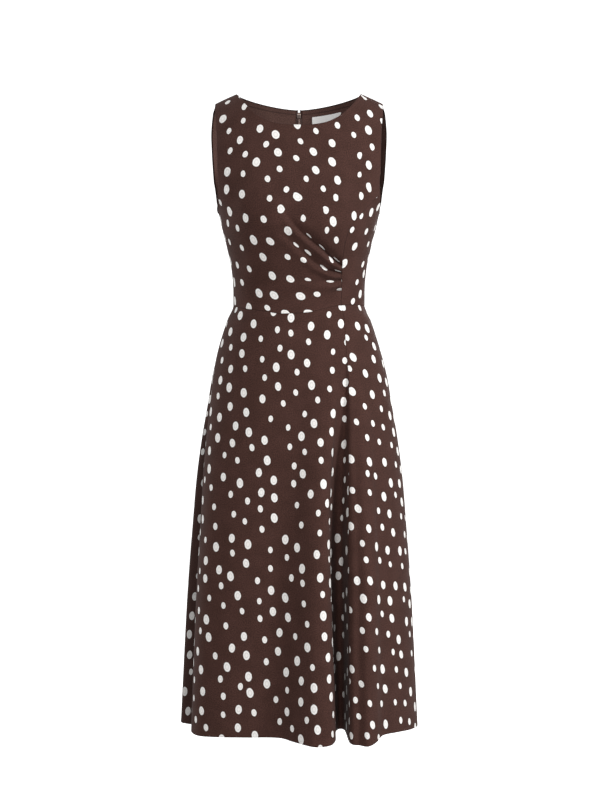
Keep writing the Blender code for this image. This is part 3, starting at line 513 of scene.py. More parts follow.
def flat_triangles(coarse):
    """A grid's triangles, and each one laid flat by itself."""
    ids = np.arange(coarse[..., 0].size).reshape(coarse.shape[:2])
    halves = ((ids[:-1, :-1], ids[1:, :-1], ids[1:, 1:]), (ids[:-1, :-1], ids[1:, 1:], ids[:-1, 1:]))
    triangles = np.concatenate([np.stack(half, axis=-1).reshape(-1, 3) for half in halves])
    place = coarse.reshape(-1, 3)[triangles]
    first = place[:, 1] - place[:, 0]
    second = place[:, 2] - place[:, 0]
    length = np.linalg.norm(first, axis=1)
    rest = np.zeros((len(triangles), 3, 2))
    rest[:, 1, 0] = length
    rest[:, 2, 0] = (first * second).sum(axis=1) / length
    rest[:, 2, 1] = np.linalg.norm(np.cross(first, second), axis=1) / length
    return triangles, rest


def springs(triangles, rest):
    """The triangles' edges: both ends, the stiffness, and the run in the flat triangle."""
    edges = []
    for k in range(3):
        after, apex = (k + 1) % 3, (k + 2) % 3
        to_one = rest[:, k] - rest[:, apex]
        to_two = rest[:, after] - rest[:, apex]
        area = np.abs(to_one[:, 0] * to_two[:, 1] - to_one[:, 1] * to_two[:, 0])
        weight = (to_one * to_two).sum(axis=1) / np.maximum(area, TINY)
        weight = np.maximum(weight, LEAST_STIFFNESS)
        edges.append((triangles[:, k], triangles[:, after], weight, rest[:, k] - rest[:, after]))
    return edges


def settling(edges, count):
    """The matrix that takes the pulls on all points to the places where they balance."""
    stiff = np.zeros((count, count))
    for one, two, weight, _ in edges:
        for start, end, sign in ((one, one, 1), (two, two, 1), (one, two, -1), (two, one, -1)):
            np.add.at(stiff, (start, end), sign * weight)
    stiff[0, 0] += 1.0
    return np.linalg.inv(stiff)


def unrolled(coarse):
    """A first guess at the layout: each row's level distance from the middle column."""
    level = np.hypot(*np.moveaxis(np.diff(coarse[..., :2], axis=1), -1, 0))
    around = np.concatenate([np.zeros((len(coarse), 1)), np.cumsum(level, axis=1)], axis=1)
    middle = coarse.shape[1] // 2
    return np.stack([around - around[:, middle:middle + 1], coarse[..., 2]], axis=-1)


def flatten(points):
    """Lays a grid of cloth out flat with as little stretch as its form allows.

    A coarse mesh of the grid is turned, triangle by triangle, to where it fits best,
    and its points then settle between their triangles; the two steps repeat.
    """
    marks = [np.append(np.arange(0, size - 1, FLATTEN_STEP), size - 1) for size in points.shape[:2]]
    coarse = points[np.ix_(*marks)]
    triangles, rest = flat_triangles(coarse)
    edges = springs(triangles, rest)
    balance = settling(edges, coarse[..., 0].size)
    flat = unrolled(coarse).reshape(-1, 2)
    for _ in range(FLATTEN_ROUNDS):
        fit = np.zeros((len(triangles), 2, 2))
        for one, two, weight, run in edges:
            fit += weight[:, None, None] * (flat[one] - flat[two])[:, :, None] * run[:, None, :]
        turn = np.arctan2(fit[:, 1, 0] - fit[:, 0, 1], fit[:, 0, 0] + fit[:, 1, 1])
        pull = np.zeros_like(flat)
        for one, two, weight, run in edges:
            force = weight[:, None] * turned_by(run, turn)
            np.add.at(pull, one, force)
            np.add.at(pull, two, -force)
        flat = balance @ pull
    flat = flat.reshape(coarse.shape[0], coarse.shape[1], 2)
    for axis, line in enumerate(marks):
        along = spacing(points, axis)
        flat = np.apply_along_axis(lambda values: np.interp(along, along[line], values), axis, flat)
    return flat


def strip_layout(points):
    """A band laid out as the straight bias strip that it is cut as."""
    along, down = spacing(points, 1), spacing(points, 0)
    return np.stack(np.broadcast_arrays(along[None, :], -down[:, None]), axis=-1)


def straight_grain(flat):
    """Turns a flat panel so that the grain in its middle runs straight down."""
    middle = int(round(0.5 * (flat.shape[1] - 1)))
    run = flat[-1, middle] - flat[0, middle]
    return turned_by(flat, -math.atan2(run[0], -run[1]))


# --- shells ---

EDGE_PLACES = (-0.15, 0.0, 0.15, 0.4, 0.8, 1.4)  # the first laps over the seam
EDGE_MOST = 0.9  # an edge's lines stay within this share of its first cell
CLOTH = 1.0  # a shell's thickness
SEAM_SINK = 0.5
SEAM_REACH = 1.4
SHADE_REACH = 1.1  # seams, and the painted shade of creases and folds, darken the cloth this far out


def edge_lines(grid, axis):
    """Adds lines close to a grid's two edges on one axis, and the distances to them."""
    lines = np.moveaxis(grid, axis, 0)
    ends = []
    for edge, inner in ((0, 1), (-1, -2)):
        run = lines[inner] - lines[edge]
        length = np.linalg.norm(run[..., :3], axis=-1, keepdims=True)
        steps = [lines[edge] + run * np.minimum(place / length, EDGE_MOST) for place in EDGE_PLACES]
        ends.append(np.stack(steps if edge == 0 else steps[::-1]))
    lines = np.concatenate([ends[0], lines[1:-1], ends[1]])
    near = np.array(EDGE_PLACES) - EDGE_PLACES[0]
    distance = np.full(len(lines), FAR)
    distance[:len(near)] = near
    distance[-len(near):] = near[::-1]
    return np.moveaxis(lines, 0, axis), distance


def closed(grid):
    """A ring's grid, with its first column again at the end."""
    return np.concatenate([grid, grid[:, :1]], axis=1)


def quads(layer):
    corners = (layer[:-1, :-1], layer[:-1, 1:], layer[1:, 1:], layer[1:, :-1])
    return np.stack(corners, axis=-1).reshape(-1, 4)


def shell_faces(rows, columns, loop):
    """Quads of two faces that share their rim's vertices."""
    ids = np.arange(rows * columns).reshape(rows, columns)
    back = ids + rows * columns
    back[0], back[-1] = ids[0], ids[-1]
    if loop:
        ids, back = closed(ids), closed(back)
    else:
        back[:, 0], back[:, -1] = ids[:, 0], ids[:, -1]
    return quads(ids), quads(back)[:, ::-1]


def new_object(name, mesh, materials):
    mesh.shade_smooth()
    for material in materials:
        mesh.materials.append(material)
    made = bpy.data.objects.new(name, mesh)
    bpy.context.scene.collection.objects.link(made)
    return made


def mesh_of(name, places, faces):
    """A mesh of quads, from its points and the four numbers of each face."""
    mesh = bpy.data.meshes.new(name)
    mesh.vertices.add(len(places))
    mesh.vertices.foreach_set("co", places.ravel())
    mesh.loops.add(faces.size)
    mesh.loops.foreach_set("vertex_index", faces.ravel())
    mesh.polygons.add(len(faces))
    mesh.polygons.foreach_set("loop_start", np.arange(0, faces.size, 4))
    mesh.update(calc_edges=True)
    return mesh


def shell(name, points, flat, turn, near, materials, thickness=CLOTH, sink=SEAM_SINK, loop=False):
    """One piece of cloth as a closed thin shell, with its flat layout as its UV map."""
    grid = np.concatenate([points, flat, turn[..., None], near[..., None]], axis=-1)
    if faces_inwards(points):
        grid = grid[:, ::-1]
    grid, near_rows = edge_lines(grid, 0)
    near_columns = np.full(grid.shape[1], FAR)
    if not loop:
        grid, near_columns = edge_lines(grid, 1)
    edge = np.minimum(near_rows[:, None], near_columns[None, :])
    outer, half = grid[..., :3], thickness / 2
    normal = normals_of(outer)
    round_edge = half - np.sqrt(np.maximum(half ** 2 - np.maximum(half - edge, 0) ** 2, 0))
    dip = sink * np.clip(1 - edge / SEAM_REACH, 0, 1) ** 2
    face = outer - (dip + round_edge)[..., None] * normal
    lining = outer - (dip + thickness - round_edge)[..., None] * normal
    front, reverse = shell_faces(*grid.shape[:2], loop)
    faces = np.concatenate([front, reverse])
    used = np.unique(faces)
    places = np.concatenate([face.reshape(-1, 3), lining.reshape(-1, 3)])[used] * MM
    mesh = mesh_of(name, places, np.searchsorted(used, faces))
    sides = np.repeat([0, len(materials) - 1], [len(front), len(reverse)])
    mesh.polygons.foreach_set("material_index", sides)
    layout = np.tile(grid[..., 3:5].reshape(-1, 2) * MM, (2, 1))
    mesh.uv_layers.new(name="cloth").data.foreach_set("uv", layout[faces.ravel()].ravel())
    # the "seam" attribute holds nearness to the shell's edges, which darken as seams, and to painted
    # shade in creases and folds
    for word, values in (("turn", grid[..., 5]), ("seam", np.minimum(edge, grid[..., 6]))):
        field = mesh.attributes.new(word, "FLOAT", "POINT")
        field.data.foreach_set("value", np.tile(values.ravel(), 2)[used])
    return new_object(name, mesh, materials)


# --- cloth panels ---

# Small creases that the solids leave out: points along each as x and drop on the
# front, its depth and its width.
FRONT_CREASES = (
    (((-58, 225), (-76, 211), (-94, 192)), 0.9, 16),
    (((-29, 359), (-60, 363), (-88, 358)), 0.8, 12),
    (((35, 309), (10, 286), (-12, 273), (-39, 257)), 0.8, 8),
    (((58, 347), (35, 342), (10, 338)), 0.9, 6),
    (((64, 386), (43, 398), (19, 404)), 0.7, 7),
    (((118, 128), (126, 157), (135, 183)), 0.9, 9),
    (((-116, 158), (-120, 197), (-114, 237)), 1.0, 10),
    (((-126, 267), (-110, 296), (-102, 336)), 0.8, 10),
)


# The same on the back's two halves, by the sign of their x.
BACK_CREASES = {
    1: (
        (((128, 175), (104, 205), (78, 226)), 0.9, 11),
        (((30, 330), (62, 350), (96, 362)), 0.9, 10),
        (((24, 372), (58, 382), (92, 384)), 0.7, 8),
        (((112, 250), (104, 290), (100, 330)), 0.7, 9),
    ),
    -1: (
        (((130, 184), (102, 214), (70, 240)), 1.0, 12),
        (((26, 345), (56, 360), (90, 366)), 0.9, 9),
        (((40, 388), (70, 392), (98, 386)), 0.6, 7),
        (((60, 120), (72, 160), (78, 200)), 0.7, 13),
    ),
}

# Painted shade in a deep fold of the skirt: the angle of its bottom at the hem, its half width, the
# drops between which it deepens, and the shade at its bottom.
FOLD_SHADES = ((180.5, 10.5, 545, 640, 0.75), (68.5, 3.6, 600, 820, 0.4))
CREASE_ENDS = 0.04  # a crease is never shallower than this far from its ends
CREASE_SWELL = 0.8
CREASE_LIPS = (0.45, 1.5, 0.8)  # beside it: height by its depth, place and width by its width
EDGE_SAMPLES = 200  # fine points along an edge before it is spaced evenly
WAIST_NUDGE = 1e-6  # keeps a side seam's waist on its own side

# Cells of the panels' grids.
ARMHOLE_CELLS = 60
FRONT_SIDE_CELLS = 176
FINE_FROM_X = 10  # the front's cells are finer from here to the pleats' seam
BACK_SIDE_CELLS = 70
SIDE_FRONT_CELLS = (60, 130)
SKIRT_ROWS = 190
SKIRT_ROW_BEND = 1.1  # rows lie closer near the waist
NECK_FACING_CELLS = (70, 56)
ARMHOLE_FACING_CELLS = (40, 10)
LABEL_CELLS = (40, 20)
TAPE_CELLS = (16, 120)


def line_relief(lines, across, down):
    """Soft troughs along lines on a panel, deepest in the middle of each."""
    relief = np.zeros(np.broadcast(across, down).shape)
    lip, place, breadth = CREASE_LIPS
    for points, depth, width in lines:
        nearest, _, share = from_line(points, across, down, count=12)
        swell = np.sin(np.pi * np.clip(share, CREASE_ENDS, 1 - CREASE_ENDS)) ** CREASE_SWELL
        off = nearest / width
        beside = lip * np.exp(-((off - place) / breadth) ** 2)
        relief += depth * swell * (beside - np.exp(-off ** 2))
    return relief


def raised(points, relief):
    """Moves a grid of points out of the dress by a relief."""
    out = -relief if faces_inwards(points) else relief
    return points + out[..., None] * normals_of(points)


def spaced(*stops):
    """Places along an edge: runs of (start, end, count), joined."""
    runs = [np.linspace(start, end, count + 1) for start, end, count in stops]
    return np.concatenate([runs[0]] + [run[1:] for run in runs[1:]])


def along_edge(angle, drop, count, surface):
    """Evenly spaced points of an edge, measured along the cloth, as angles and drops."""
    length = travelled(surface(angle, drop))
    marks = np.linspace(0, length[-1], count + 1)
    return np.stack([np.interp(marks, length, angle), np.interp(marks, length, drop)], axis=-1)


def shares(line):
    """How far along a line each of its points is."""
    steps = np.linalg.norm(np.diff(line, axis=0), axis=1)
    return np.concatenate([[0], np.cumsum(steps)]) / steps.sum()


def patch(top, bottom, left, right):
    """Angles and drops inside four edges that meet at their corners."""
    s = ((shares(top) + shares(bottom)) / 2)[None, :, None]
    t = ((shares(left) + shares(right)) / 2)[:, None, None]
    ruled = (1 - t) * top[None] + t * bottom[None] + (1 - s) * left[:, None] + s * right[:, None]
    corners = (1 - t) * ((1 - s) * top[0] + s * top[-1]) + t * ((1 - s) * bottom[0] + s * bottom[-1])
    grid = ruled - corners
    return grid[..., 0], grid[..., 1]


def armhole_edge(front, end):
    """The armhole's cut edge from the shoulder down to a drop."""
    tip = float(shoulder_drop(float(SHOULDER_TIP_X)))
    drop = end - (end - tip) * np.linspace(1, 0, 2 * EDGE_SAMPLES) ** 2
    return along_edge(armhole_angle(drop, front), drop, ARMHOLE_CELLS, bodice)


def side_edge(angle_of, start, end, count):
    drop = np.linspace(start, end, EDGE_SAMPLES)
    return along_edge(angle_of(drop), drop, count, bodice)


def upright(angle):
    return lambda drop: np.full_like(drop, angle)


def joined(upper, lower):
    return np.concatenate([upper, lower[1:]])


def bodice_patch(xs, front, ends, left, right):
    """Angles and drops of a bodice panel, from its top's x, its waist's ends and its sides."""
    drop = np.where(np.abs(xs) < NECK_HALF_WIDTH, neck_drop(xs, front), shoulder_drop(xs))
    top = np.stack([angle_at(xs, drop) * (1 if front else -1), drop], axis=-1)
    run = xs if front else -xs
    turn = np.interp(run, (run[0], run[-1]), ends)
    bottom = np.stack([turn, waist_drop(turn if front else turn - WAIST_NUDGE)], axis=-1)
    top[0], top[-1] = left[0], right[0]
    bottom[0], bottom[-1] = left[-1], right[-1]
    return patch(top, bottom, left, right)


def front_bodice():
    """Points of the panel, and where they lie on the dress's plain form."""
    foot = float(princess_angle(WAIST))
    foot = float(princess_angle(float(waist_drop(foot))))
    seam = side_edge(princess_angle, PRINCESS_TOP, float(waist_drop(foot)), FRONT_SIDE_CELLS)
    right = joined(armhole_edge(True, PRINCESS_TOP), seam)
    seam = side_edge(upright(RIGHT_SIDE), UNDERARM, float(waist_drop(RIGHT_SIDE)), FRONT_SIDE_CELLS)
    left = joined(armhole_edge(True, UNDERARM) * (-1, 1) + (RIGHT_SIDE, 0), seam)
    xs = spaced((-SHOULDER_TIP_X, -NECK_HALF_WIDTH, 12), (-NECK_HALF_WIDTH, FINE_FROM_X, 38),
                (FINE_FROM_X, NECK_HALF_WIDTH, 84), (NECK_HALF_WIDTH, SHOULDER_TIP_X, 34))
    angle, drop = bodice_patch(xs, True, (RIGHT_SIDE, foot), left, right)
    plain = bodice(angle, drop, pleated=False)
    x = plain[..., 0]
    return raised(plain, pleat_relief(x, drop) + line_relief(FRONT_CREASES, x, drop)), plain


def painted_crease_shade(x, drop):
    """Nearness to a pleat's crease, for the painted shade that darkens the cloth along it, counted as
    the shading of seams counts it.
    """
    near = np.full(x.shape, FAR)
    for points, _, above, _, fade, _ in PLEATS:
        nearest, side, share = from_line(points, x, drop)
        reach = np.where(side > 0, CREASE_SHADE_ABOVE * above, CREASE_SHADE_UNDER * PLEAT_UNDER)
        near = np.minimum(near, nearest / reach + SEAM_REACH * share ** fade)
    return near


def taken_in(flat, x, drop):
    """Opens the print along each pleat's crease, for the cloth that the crease takes in."""
    for points, _, above, _, _, intake in PLEATS:
        (seam_x, seam_drop), (tip_x, tip_drop) = points[0], points[-1]
        away_x, away_up = x - tip_x, tip_drop - drop
        chord_x, chord_up = seam_x - tip_x, tip_drop - seam_drop
        off_chord = chord_up * away_x - chord_x * away_up
        bearing = np.arctan2(off_chord, chord_x * away_x + chord_up * away_up)
        nearest, side, _ = from_line(points, x, drop)
        ramp = np.clip((above - nearest * side) / (above + PLEAT_UNDER), 0, 1)
        ramp = np.where(np.abs(bearing) < math.pi / 2, ramp ** 2 * (3 - 2 * ramp), bearing > 0)
        turn = -math.radians(intake) * (ramp - bearing / (2 * math.pi))
        pivot = flat[np.unravel_index(np.argmin(np.hypot(away_x, away_up)), x.shape)]
        flat = pivot + turned_by(flat - pivot, turn)
    return flat


def side_front_bodice():
    columns, rows = SIDE_FRONT_CELLS
    share = np.linspace(0, 1, columns + 1)

    def angle_of(drop):
        return princess_angle(drop) * (1 - share)

    low = np.full_like(share, float(PRINCESS_TOP))
    high = np.full_like(share, float(UNDERARM))
    for _ in range(BISECTIONS):
        middle = (low + high) / 2
        above = angle_of(middle) < armhole_angle(middle, True)
        low = np.where(above, middle, low)
        high = np.where(above, high, middle)
    top = low
    top[0], top[-1] = PRINCESS_TOP, UNDERARM
    waist = settle(waist_drop, angle_of, np.full_like(share, WAIST))
    drop = top + (waist - top) * np.linspace(0, 1, rows + 1)[:, None]
    return bodice(angle_of(drop), drop)


def cb_opening(drop):
    top = float(neck_drop(0.0, False))
    share = np.clip(1 - (drop - top) / NECK_OPENING_DEPTH, 0, 1)
    return NECK_OPENING_HALF * share ** NECK_OPENING_BEND


def back_bodice(side):
    """One half of the back; side is 1 for the wearer's left and -1 for the right."""
    seam = side_edge(upright(0.0), UNDERARM, float(waist_drop(0.0)), BACK_SIDE_CELLS)
    left = joined(armhole_edge(False, UNDERARM), seam)
    neck, waist = float(neck_drop(0.0, False)), float(waist_drop(CENTRE_BACK))
    upper = side_edge(upright(CENTRE_BACK), neck, float(UNDERARM), ARMHOLE_CELLS)
    lower = side_edge(upright(CENTRE_BACK), float(UNDERARM), waist, BACK_SIDE_CELLS)
    right = joined(upper, lower)
    xs = spaced((SHOULDER_TIP_X, NECK_HALF_WIDTH, 18), (NECK_HALF_WIDTH, 0, 62))
    angle, drop = bodice_patch(xs, False, (0.0, CENTRE_BACK), left, right)
    points = bodice(angle, drop)
    points = raised(points, line_relief(BACK_CREASES[side], points[..., 0], drop))
    points[:, -1, 0] += cb_opening(drop[:, -1])
    points[..., 0] *= side
    return points


def fold_shade(hem_angle, drop):
    """Nearness to the bottom of a deep fold, for the painted shade there, as the shading of seams
    counts it.
    """
    near = np.full(drop.shape, FAR)
    for angle, half, start, full, share in FOLD_SHADES:
        across = ((hem_angle - angle + 180) % 360 - 180) / half
        depth = share * np.clip((drop - start) / (full - start), 0, 1) * np.exp(-across ** 4)
        near = np.minimum(near, SHADE_REACH * (1 - depth))
    return near


def skirt_panel(start, end, count):
    """Points of the panel, and the painted shade of its deep folds."""
    fine = np.linspace(start, end, 6 * EDGE_SAMPLES)
    hem_angle = along_edge(fine, np.full_like(fine, float(HEM)), count, skirt)[:, 0]
    top = settle(waist_drop, lambda drop: skirt_angle(hem_angle, drop), np.full_like(hem_angle, WAIST))
    down = np.linspace(0, 1, SKIRT_ROWS + 1)[:, None] ** SKIRT_ROW_BEND
    drop = top + (hem_drop(hem_angle) - top) * down
    hem_angle = np.broadcast_to(hem_angle, drop.shape)
    return skirt(hem_angle, drop), fold_shade(hem_angle, drop)


def back_neck_facing(side):
    """Points of the facing, and nearness to the row of stitches under its edge."""
    share, down = (np.linspace(0, 1, count + 1) for count in NECK_FACING_CELLS)
    down = down[:, None] ** NECK_FACING_ROW_BEND
    edge_x = ZIP_EDGE_X + (NECK_HALF_WIDTH + FACING_INSET - ZIP_EDGE_X) * share
    edge_drop = neck_drop(edge_x, False) + FACING_INSET
    inner_x = ZIP_EDGE_X + (NECK_FACING_SHOULDER_X - ZIP_EDGE_X) * share
    end = float(shoulder_drop(float(NECK_FACING_SHOULDER_X)))
    inner_drop = NECK_FACING_DROP - (NECK_FACING_DROP - end) * share ** NECK_FACING_BEND
    x = edge_x + (inner_x - edge_x) * down
    drop = edge_drop + (inner_drop - edge_drop) * down
    drop[:, -1] = shoulder_drop(x[:, -1])
    points = inside_layer(bodice, -angle_at(x, drop), drop, WALL + FACING_GAP)
    points[:, -1, 1] += NECK_FACING_CLEAR
    points[..., 0] *= side
    stitched = np.abs(drop - edge_drop - UNDERSTITCH_BELOW) / UNDERSTITCH_WIDTH
    return points, SHADE_REACH * np.clip(stitched, UNDERSTITCH_SHADE, 1)


def armhole_half(front):
    """Angles and drops of the facing's front or back half, from the shoulder down."""
    cells, across_cells = ARMHOLE_FACING_CELLS
    tip_drop = float(shoulder_drop(float(SHOULDER_TIP_X)))
    down = np.linspace(0, 1, cells + 1) ** ARMHOLE_FACING_ROW_BEND
    across = np.linspace(0, 1, across_cells + 1)[:, None]
    rows = FRONT_ARMHOLE if front else BACK_ARMHOLE
    x = pair_curve(rows, tip_drop + (ARMHOLE_TURN - tip_drop) * down)
    x = x - FACING_INSET - ARMHOLE_FACING_WIDTH * across
    start = shoulder_drop(x)
    drop = start + (ARMHOLE_TURN - start) * down
    upper_angle = angle_at(x, drop)
    turn = np.linspace(0, math.pi / 2, cells + 1)[1:]
    widest = np.sin(np.radians(upper_angle[:, -1:]))
    reach = UNDERARM - ARMHOLE_TURN + FACING_INSET + ARMHOLE_FACING_WIDTH * across
    angle = np.concatenate([upper_angle, np.degrees(np.arcsin(widest * np.cos(turn)))], axis=1)
    drop = np.concatenate([drop, ARMHOLE_TURN + reach * np.sin(turn)], axis=1)
    return np.stack([angle if front else -angle, drop])


def armhole_facing(side):
    whole = np.concatenate([armhole_half(True), armhole_half(False)[..., -2:0:-1]], axis=-1)
    points = inside_layer(bodice, *whole, WALL + FACING_GAP)
    points[..., 0] *= side
    return points


def label():
    x, down = (np.linspace(0, 1, count + 1) for count in LABEL_CELLS)
    x = LABEL_LEFT_X + (LABEL_RIGHT_X - LABEL_LEFT_X) * x
    drop = neck_drop(x, False) + LABEL_BELOW_NECK + LABEL_HEIGHT * down[:, None]
    x = np.broadcast_to(x, drop.shape)
    return inside_layer(bodice, -angle_at(x, drop), drop, WALL + FACING_GAP + FACING_WALL + LABEL_GAP)


def zip_tape():
    across_cells, cells = TAPE_CELLS
    drop = np.concatenate([np.linspace(ZIP_TOP, ZIP_BOTTOM, cells + 1), ZIP_WIDENS])
    drop = np.sort(drop)[:, None]
    widening = np.clip((drop - ZIP_WIDENS[0]) / (ZIP_WIDENS[1] - ZIP_WIDENS[0]), 0, 1)
    half = ZIP_NARROW_HALF + (ZIP_WIDE_HALF - ZIP_NARROW_HALF) * widening
    x = half * np.linspace(1, -1, across_cells + 1)
    drop = np.broadcast_to(drop, x.shape)
    points = inside_layer(skirt, np.full_like(x, CENTRE_BACK), drop, WALL + TAPE_GAP)
    points[..., 0] += x
    return points


def coil():
    """The zip's closed coil, as one monofilament wound over the inside of its tape."""
    count = int((ZIP_BOTTOM - COIL_START) / COIL_PITCH * COIL_STEPS) + 1
    turn = 2 * math.pi * np.arange(count)[:, None] / COIL_STEPS
    drop = np.linspace(COIL_START, ZIP_BOTTOM, count)
    behind = np.full(count, CENTRE_BACK)
    depth = WALL + TAPE_GAP + TAPE_THICKNESS + COIL_RISE / 2
    middle = inside_layer(skirt, behind, drop, depth)
    inward = -outward(skirt, behind, drop)
    wide = COIL_HALF * np.cos(turn) * np.array([1.0, 0.0, 0.0])
    centre = middle + wide + (COIL_RISE / 2) * np.sin(turn) * inward
    run = np.gradient(centre, axis=0)
    run /= np.linalg.norm(run, axis=1, keepdims=True)
    first = np.cross(run, np.array([0.0, 0.0, 1.0]))
    first /= np.linalg.norm(first, axis=1, keepdims=True)
    second = np.cross(run, first)
    around = (np.arange(COIL_SIDES) * 2 * math.pi / COIL_SIDES)[:, None]
    rim = np.cos(around) * first[:, None] + np.sin(around) * second[:, None]
    return centre[:, None] + COIL_YARN * rim


# --- materials ---

DOT_SPACE = 36.4  # mean spacing of the print
DOT_ROWS_TURN = 0.46  # its rows run slantwise over the cloth
DOT_LARGE = (5.9, 8.4)  # half sizes
DOT_SMALL = (4.4, 6.2)
DOT_LARGE_SHARE = 0.5
DOT_SCATTER = 0.42
DOT_SWING = 0.30  # radians that single dots lean either way
DOT_SIZES = 0.14  # how much single dots differ in size
DOT_EDGE = (0.95, 1.04)  # the ink ends between these shares of a dot's size
DOT_RING = 0.5  # the ink is thinner in a ring this far out
DOT_RING_WIDTH = 0.22
DOT_RING_SHADE = 0.17
WOBBLE_SCALE = 0.22  # a dot's outline isn't quite even
WOBBLE = 0.14
DYE_SCALE = 0.03  # scales are to a millimetre
GRAIN_SCALE = 1.3
GRAIN_CONTRAST = 0.5
PEBBLE_SCALE = 0.55
PEBBLE_CONTRAST = 2.4
WEAVE_SCALE = 3.1
WEAVE_RELIEF = 0.4  # to the grain's
SEAM_DARK_AND_PAINTED_SHADE = 0.45  # how dark the cloth is in a seam, and in the painted shade of creases and folds
RUB_SCALE = 900.0  # to a metre
RUB_SPAN = (0.45, 0.75)  # of the noise, from coated to rubbed
RUB_LIGHTER = 1.5
RUB_ROUGHNESS = 0.2
SPREAD = (0.3, 0.7)  # where nearly all of a noise lies
INK_THIN = 0.06  # the grain shows through the ink this much

BROWN_DARK = (0.047, 0.0205, 0.0158)
BROWN_LIGHT = (0.056, 0.0248, 0.0196)
DOT_WHITE = (0.82, 0.80, 0.775)
PLAIN_DARK = (0.080, 0.041, 0.034)
PLAIN_LIGHT = (0.095, 0.050, 0.041)


class Graph:
    """A node tree, with short calls for the nodes used here."""

    def __init__(self, tree):
        self.tree = tree

    def feed(self, socket, value):
        if isinstance(value, bpy.types.NodeSocket):
            self.tree.links.new(value, socket)
        else:
            socket.default_value = value

    def node(self, kind, *values, named=(), **settings):
        """A new node's outputs. Its inputs are fed in order, and then by name or number."""
        made = self.tree.nodes.new("ShaderNode" + kind)
        for key, value in settings.items():
            setattr(made, key, value)
        for key, value in [*enumerate(values), *dict(named).items()]:
            self.feed(made.inputs[key], value)
        return made.outputs

    def math(self, operation, *values):
        return self.node("Math", *values, operation=operation)[0]

    def vector(self, operation, *values):
        made = self.node("VectorMath", *values, operation=operation)
        return made["Value" if operation in ("LENGTH", "DOT_PRODUCT") else "Vector"]

    def blend(self, share, first, second):
        """A mix of two numbers or of two colours."""
        colour = not isinstance(first, float)
        pair = [(*item, 1) if isinstance(item, tuple) else item for item in (first, second)]
        place = 6 if colour else 2
        made = self.node("Mix", share, named={place: pair[0], place + 1: pair[1]},
                         data_type="RGBA" if colour else "FLOAT")
        return made[2 if colour else 0]

    def span(self, value, low, high, start=0.0, end=1.0):
        return self.node("MapRange", value, low, high, start, end, interpolation_type="SMOOTHSTEP")[0]

    def noise(self, where, scale, detail, roughness=0.5):
        named = {"Vector": where, "Scale": scale, "Detail": detail, "Roughness": roughness}
        return self.node("TexNoise", named=named)["Fac"]

    def turned(self, value, angle):
        named = {"Vector": value, "Angle": angle}
        return self.node("VectorRotate", named=named, rotation_type="Z_AXIS")[0]

    def slanted(self, value, across, up):
        """A flat place's two weighted sums."""
        sums = [self.vector("DOT_PRODUCT", value, (*weights, 0.0)) for weights in (across, up)]
        return self.node("CombineXYZ", *sums)[0]

    def shaded(self, colour, value):
        return self.node("HueSaturation", named={"Color": colour, "Value": value})[0]

    def attribute(self, name):
        return self.node("Attribute", attribute_name=name)["Fac"]


class Paint(Graph):
    """A material's node tree and its shader."""

    def __init__(self, name):
        self.material = bpy.data.materials.new(name)
        self.material.use_nodes = True
        super().__init__(self.material.node_tree)
        self.shader = self.tree.nodes["Principled BSDF"]

    def cloth(self):
        """Flat cloth coordinates in millimetres."""
        return self.vector("MULTIPLY", self.node("UVMap", uv_map="cloth")[0], (1 / MM, 1 / MM, 1))

    def bump(self, height, strength, distance):
        named = {"Strength": strength, "Distance": distance, "Height": height}
        self.feed(self.shader.inputs["Normal"], self.node("Bump", named=named)[0])

    def finish(self, colour, roughness, gloss=0.5, metallic=0.0, sheen=0.0):
        self.feed(self.shader.inputs["Base Color"], colour)
        self.feed(self.shader.inputs["Roughness"], roughness)
        self.shader.inputs["Specular IOR Level"].default_value = gloss
        self.shader.inputs["Metallic"].default_value = metallic
        self.shader.inputs["Sheen Weight"].default_value = sheen
        return self.material


def dot_mask(graph, place):
    """The print's upright ovals of two sizes, scattered over the flat cloth, and their rings."""
    place = graph.turned(place, DOT_ROWS_TURN)
    row = DOT_SPACE * math.sqrt(3) / 2
    cell = graph.slanted(place, (1 / DOT_SPACE, -0.5 / row), (0, 1 / row))
    named = {"Vector": cell, "Scale": 1.0, "Randomness": DOT_SCATTER}
    seeds = graph.node("TexVoronoi", named=named, voronoi_dimensions="2D", feature="F1")
    off = graph.vector("SUBTRACT", cell, seeds["Position"])
    off = graph.turned(graph.slanted(off, (DOT_SPACE, DOT_SPACE / 2), (0, row)), -DOT_ROWS_TURN)
    chance = graph.node("SeparateColor", seeds["Color"])
    swing = graph.math("MULTIPLY_ADD", chance[0], DOT_SWING, -DOT_SWING / 2)
    off = graph.turned(off, graph.math("SUBTRACT", swing, graph.attribute("turn")))
    large = graph.math("LESS_THAN", chance[1], DOT_LARGE_SHARE)
    halves = [graph.blend(large, small, big) for small, big in zip(DOT_SMALL, DOT_LARGE)]
    reach = graph.vector("LENGTH", graph.vector("DIVIDE", off, graph.node("CombineXYZ", *halves)[0]))
    size = graph.math("MULTIPLY_ADD", chance[2], DOT_SIZES, 1 - DOT_SIZES / 2)
    wobble = graph.math("MULTIPLY_ADD", graph.noise(place, WOBBLE_SCALE, 1.0), WOBBLE, -WOBBLE / 2)
    reach = graph.math("ADD", graph.math("DIVIDE", reach, size), wobble)
    off_ring = graph.math("ABSOLUTE", graph.math("SUBTRACT", reach, DOT_RING))
    ring = graph.span(off_ring, 0.0, DOT_RING_WIDTH, 1.0, 0.0)
    return graph.span(reach, *DOT_EDGE, 1.0, 0.0), ring


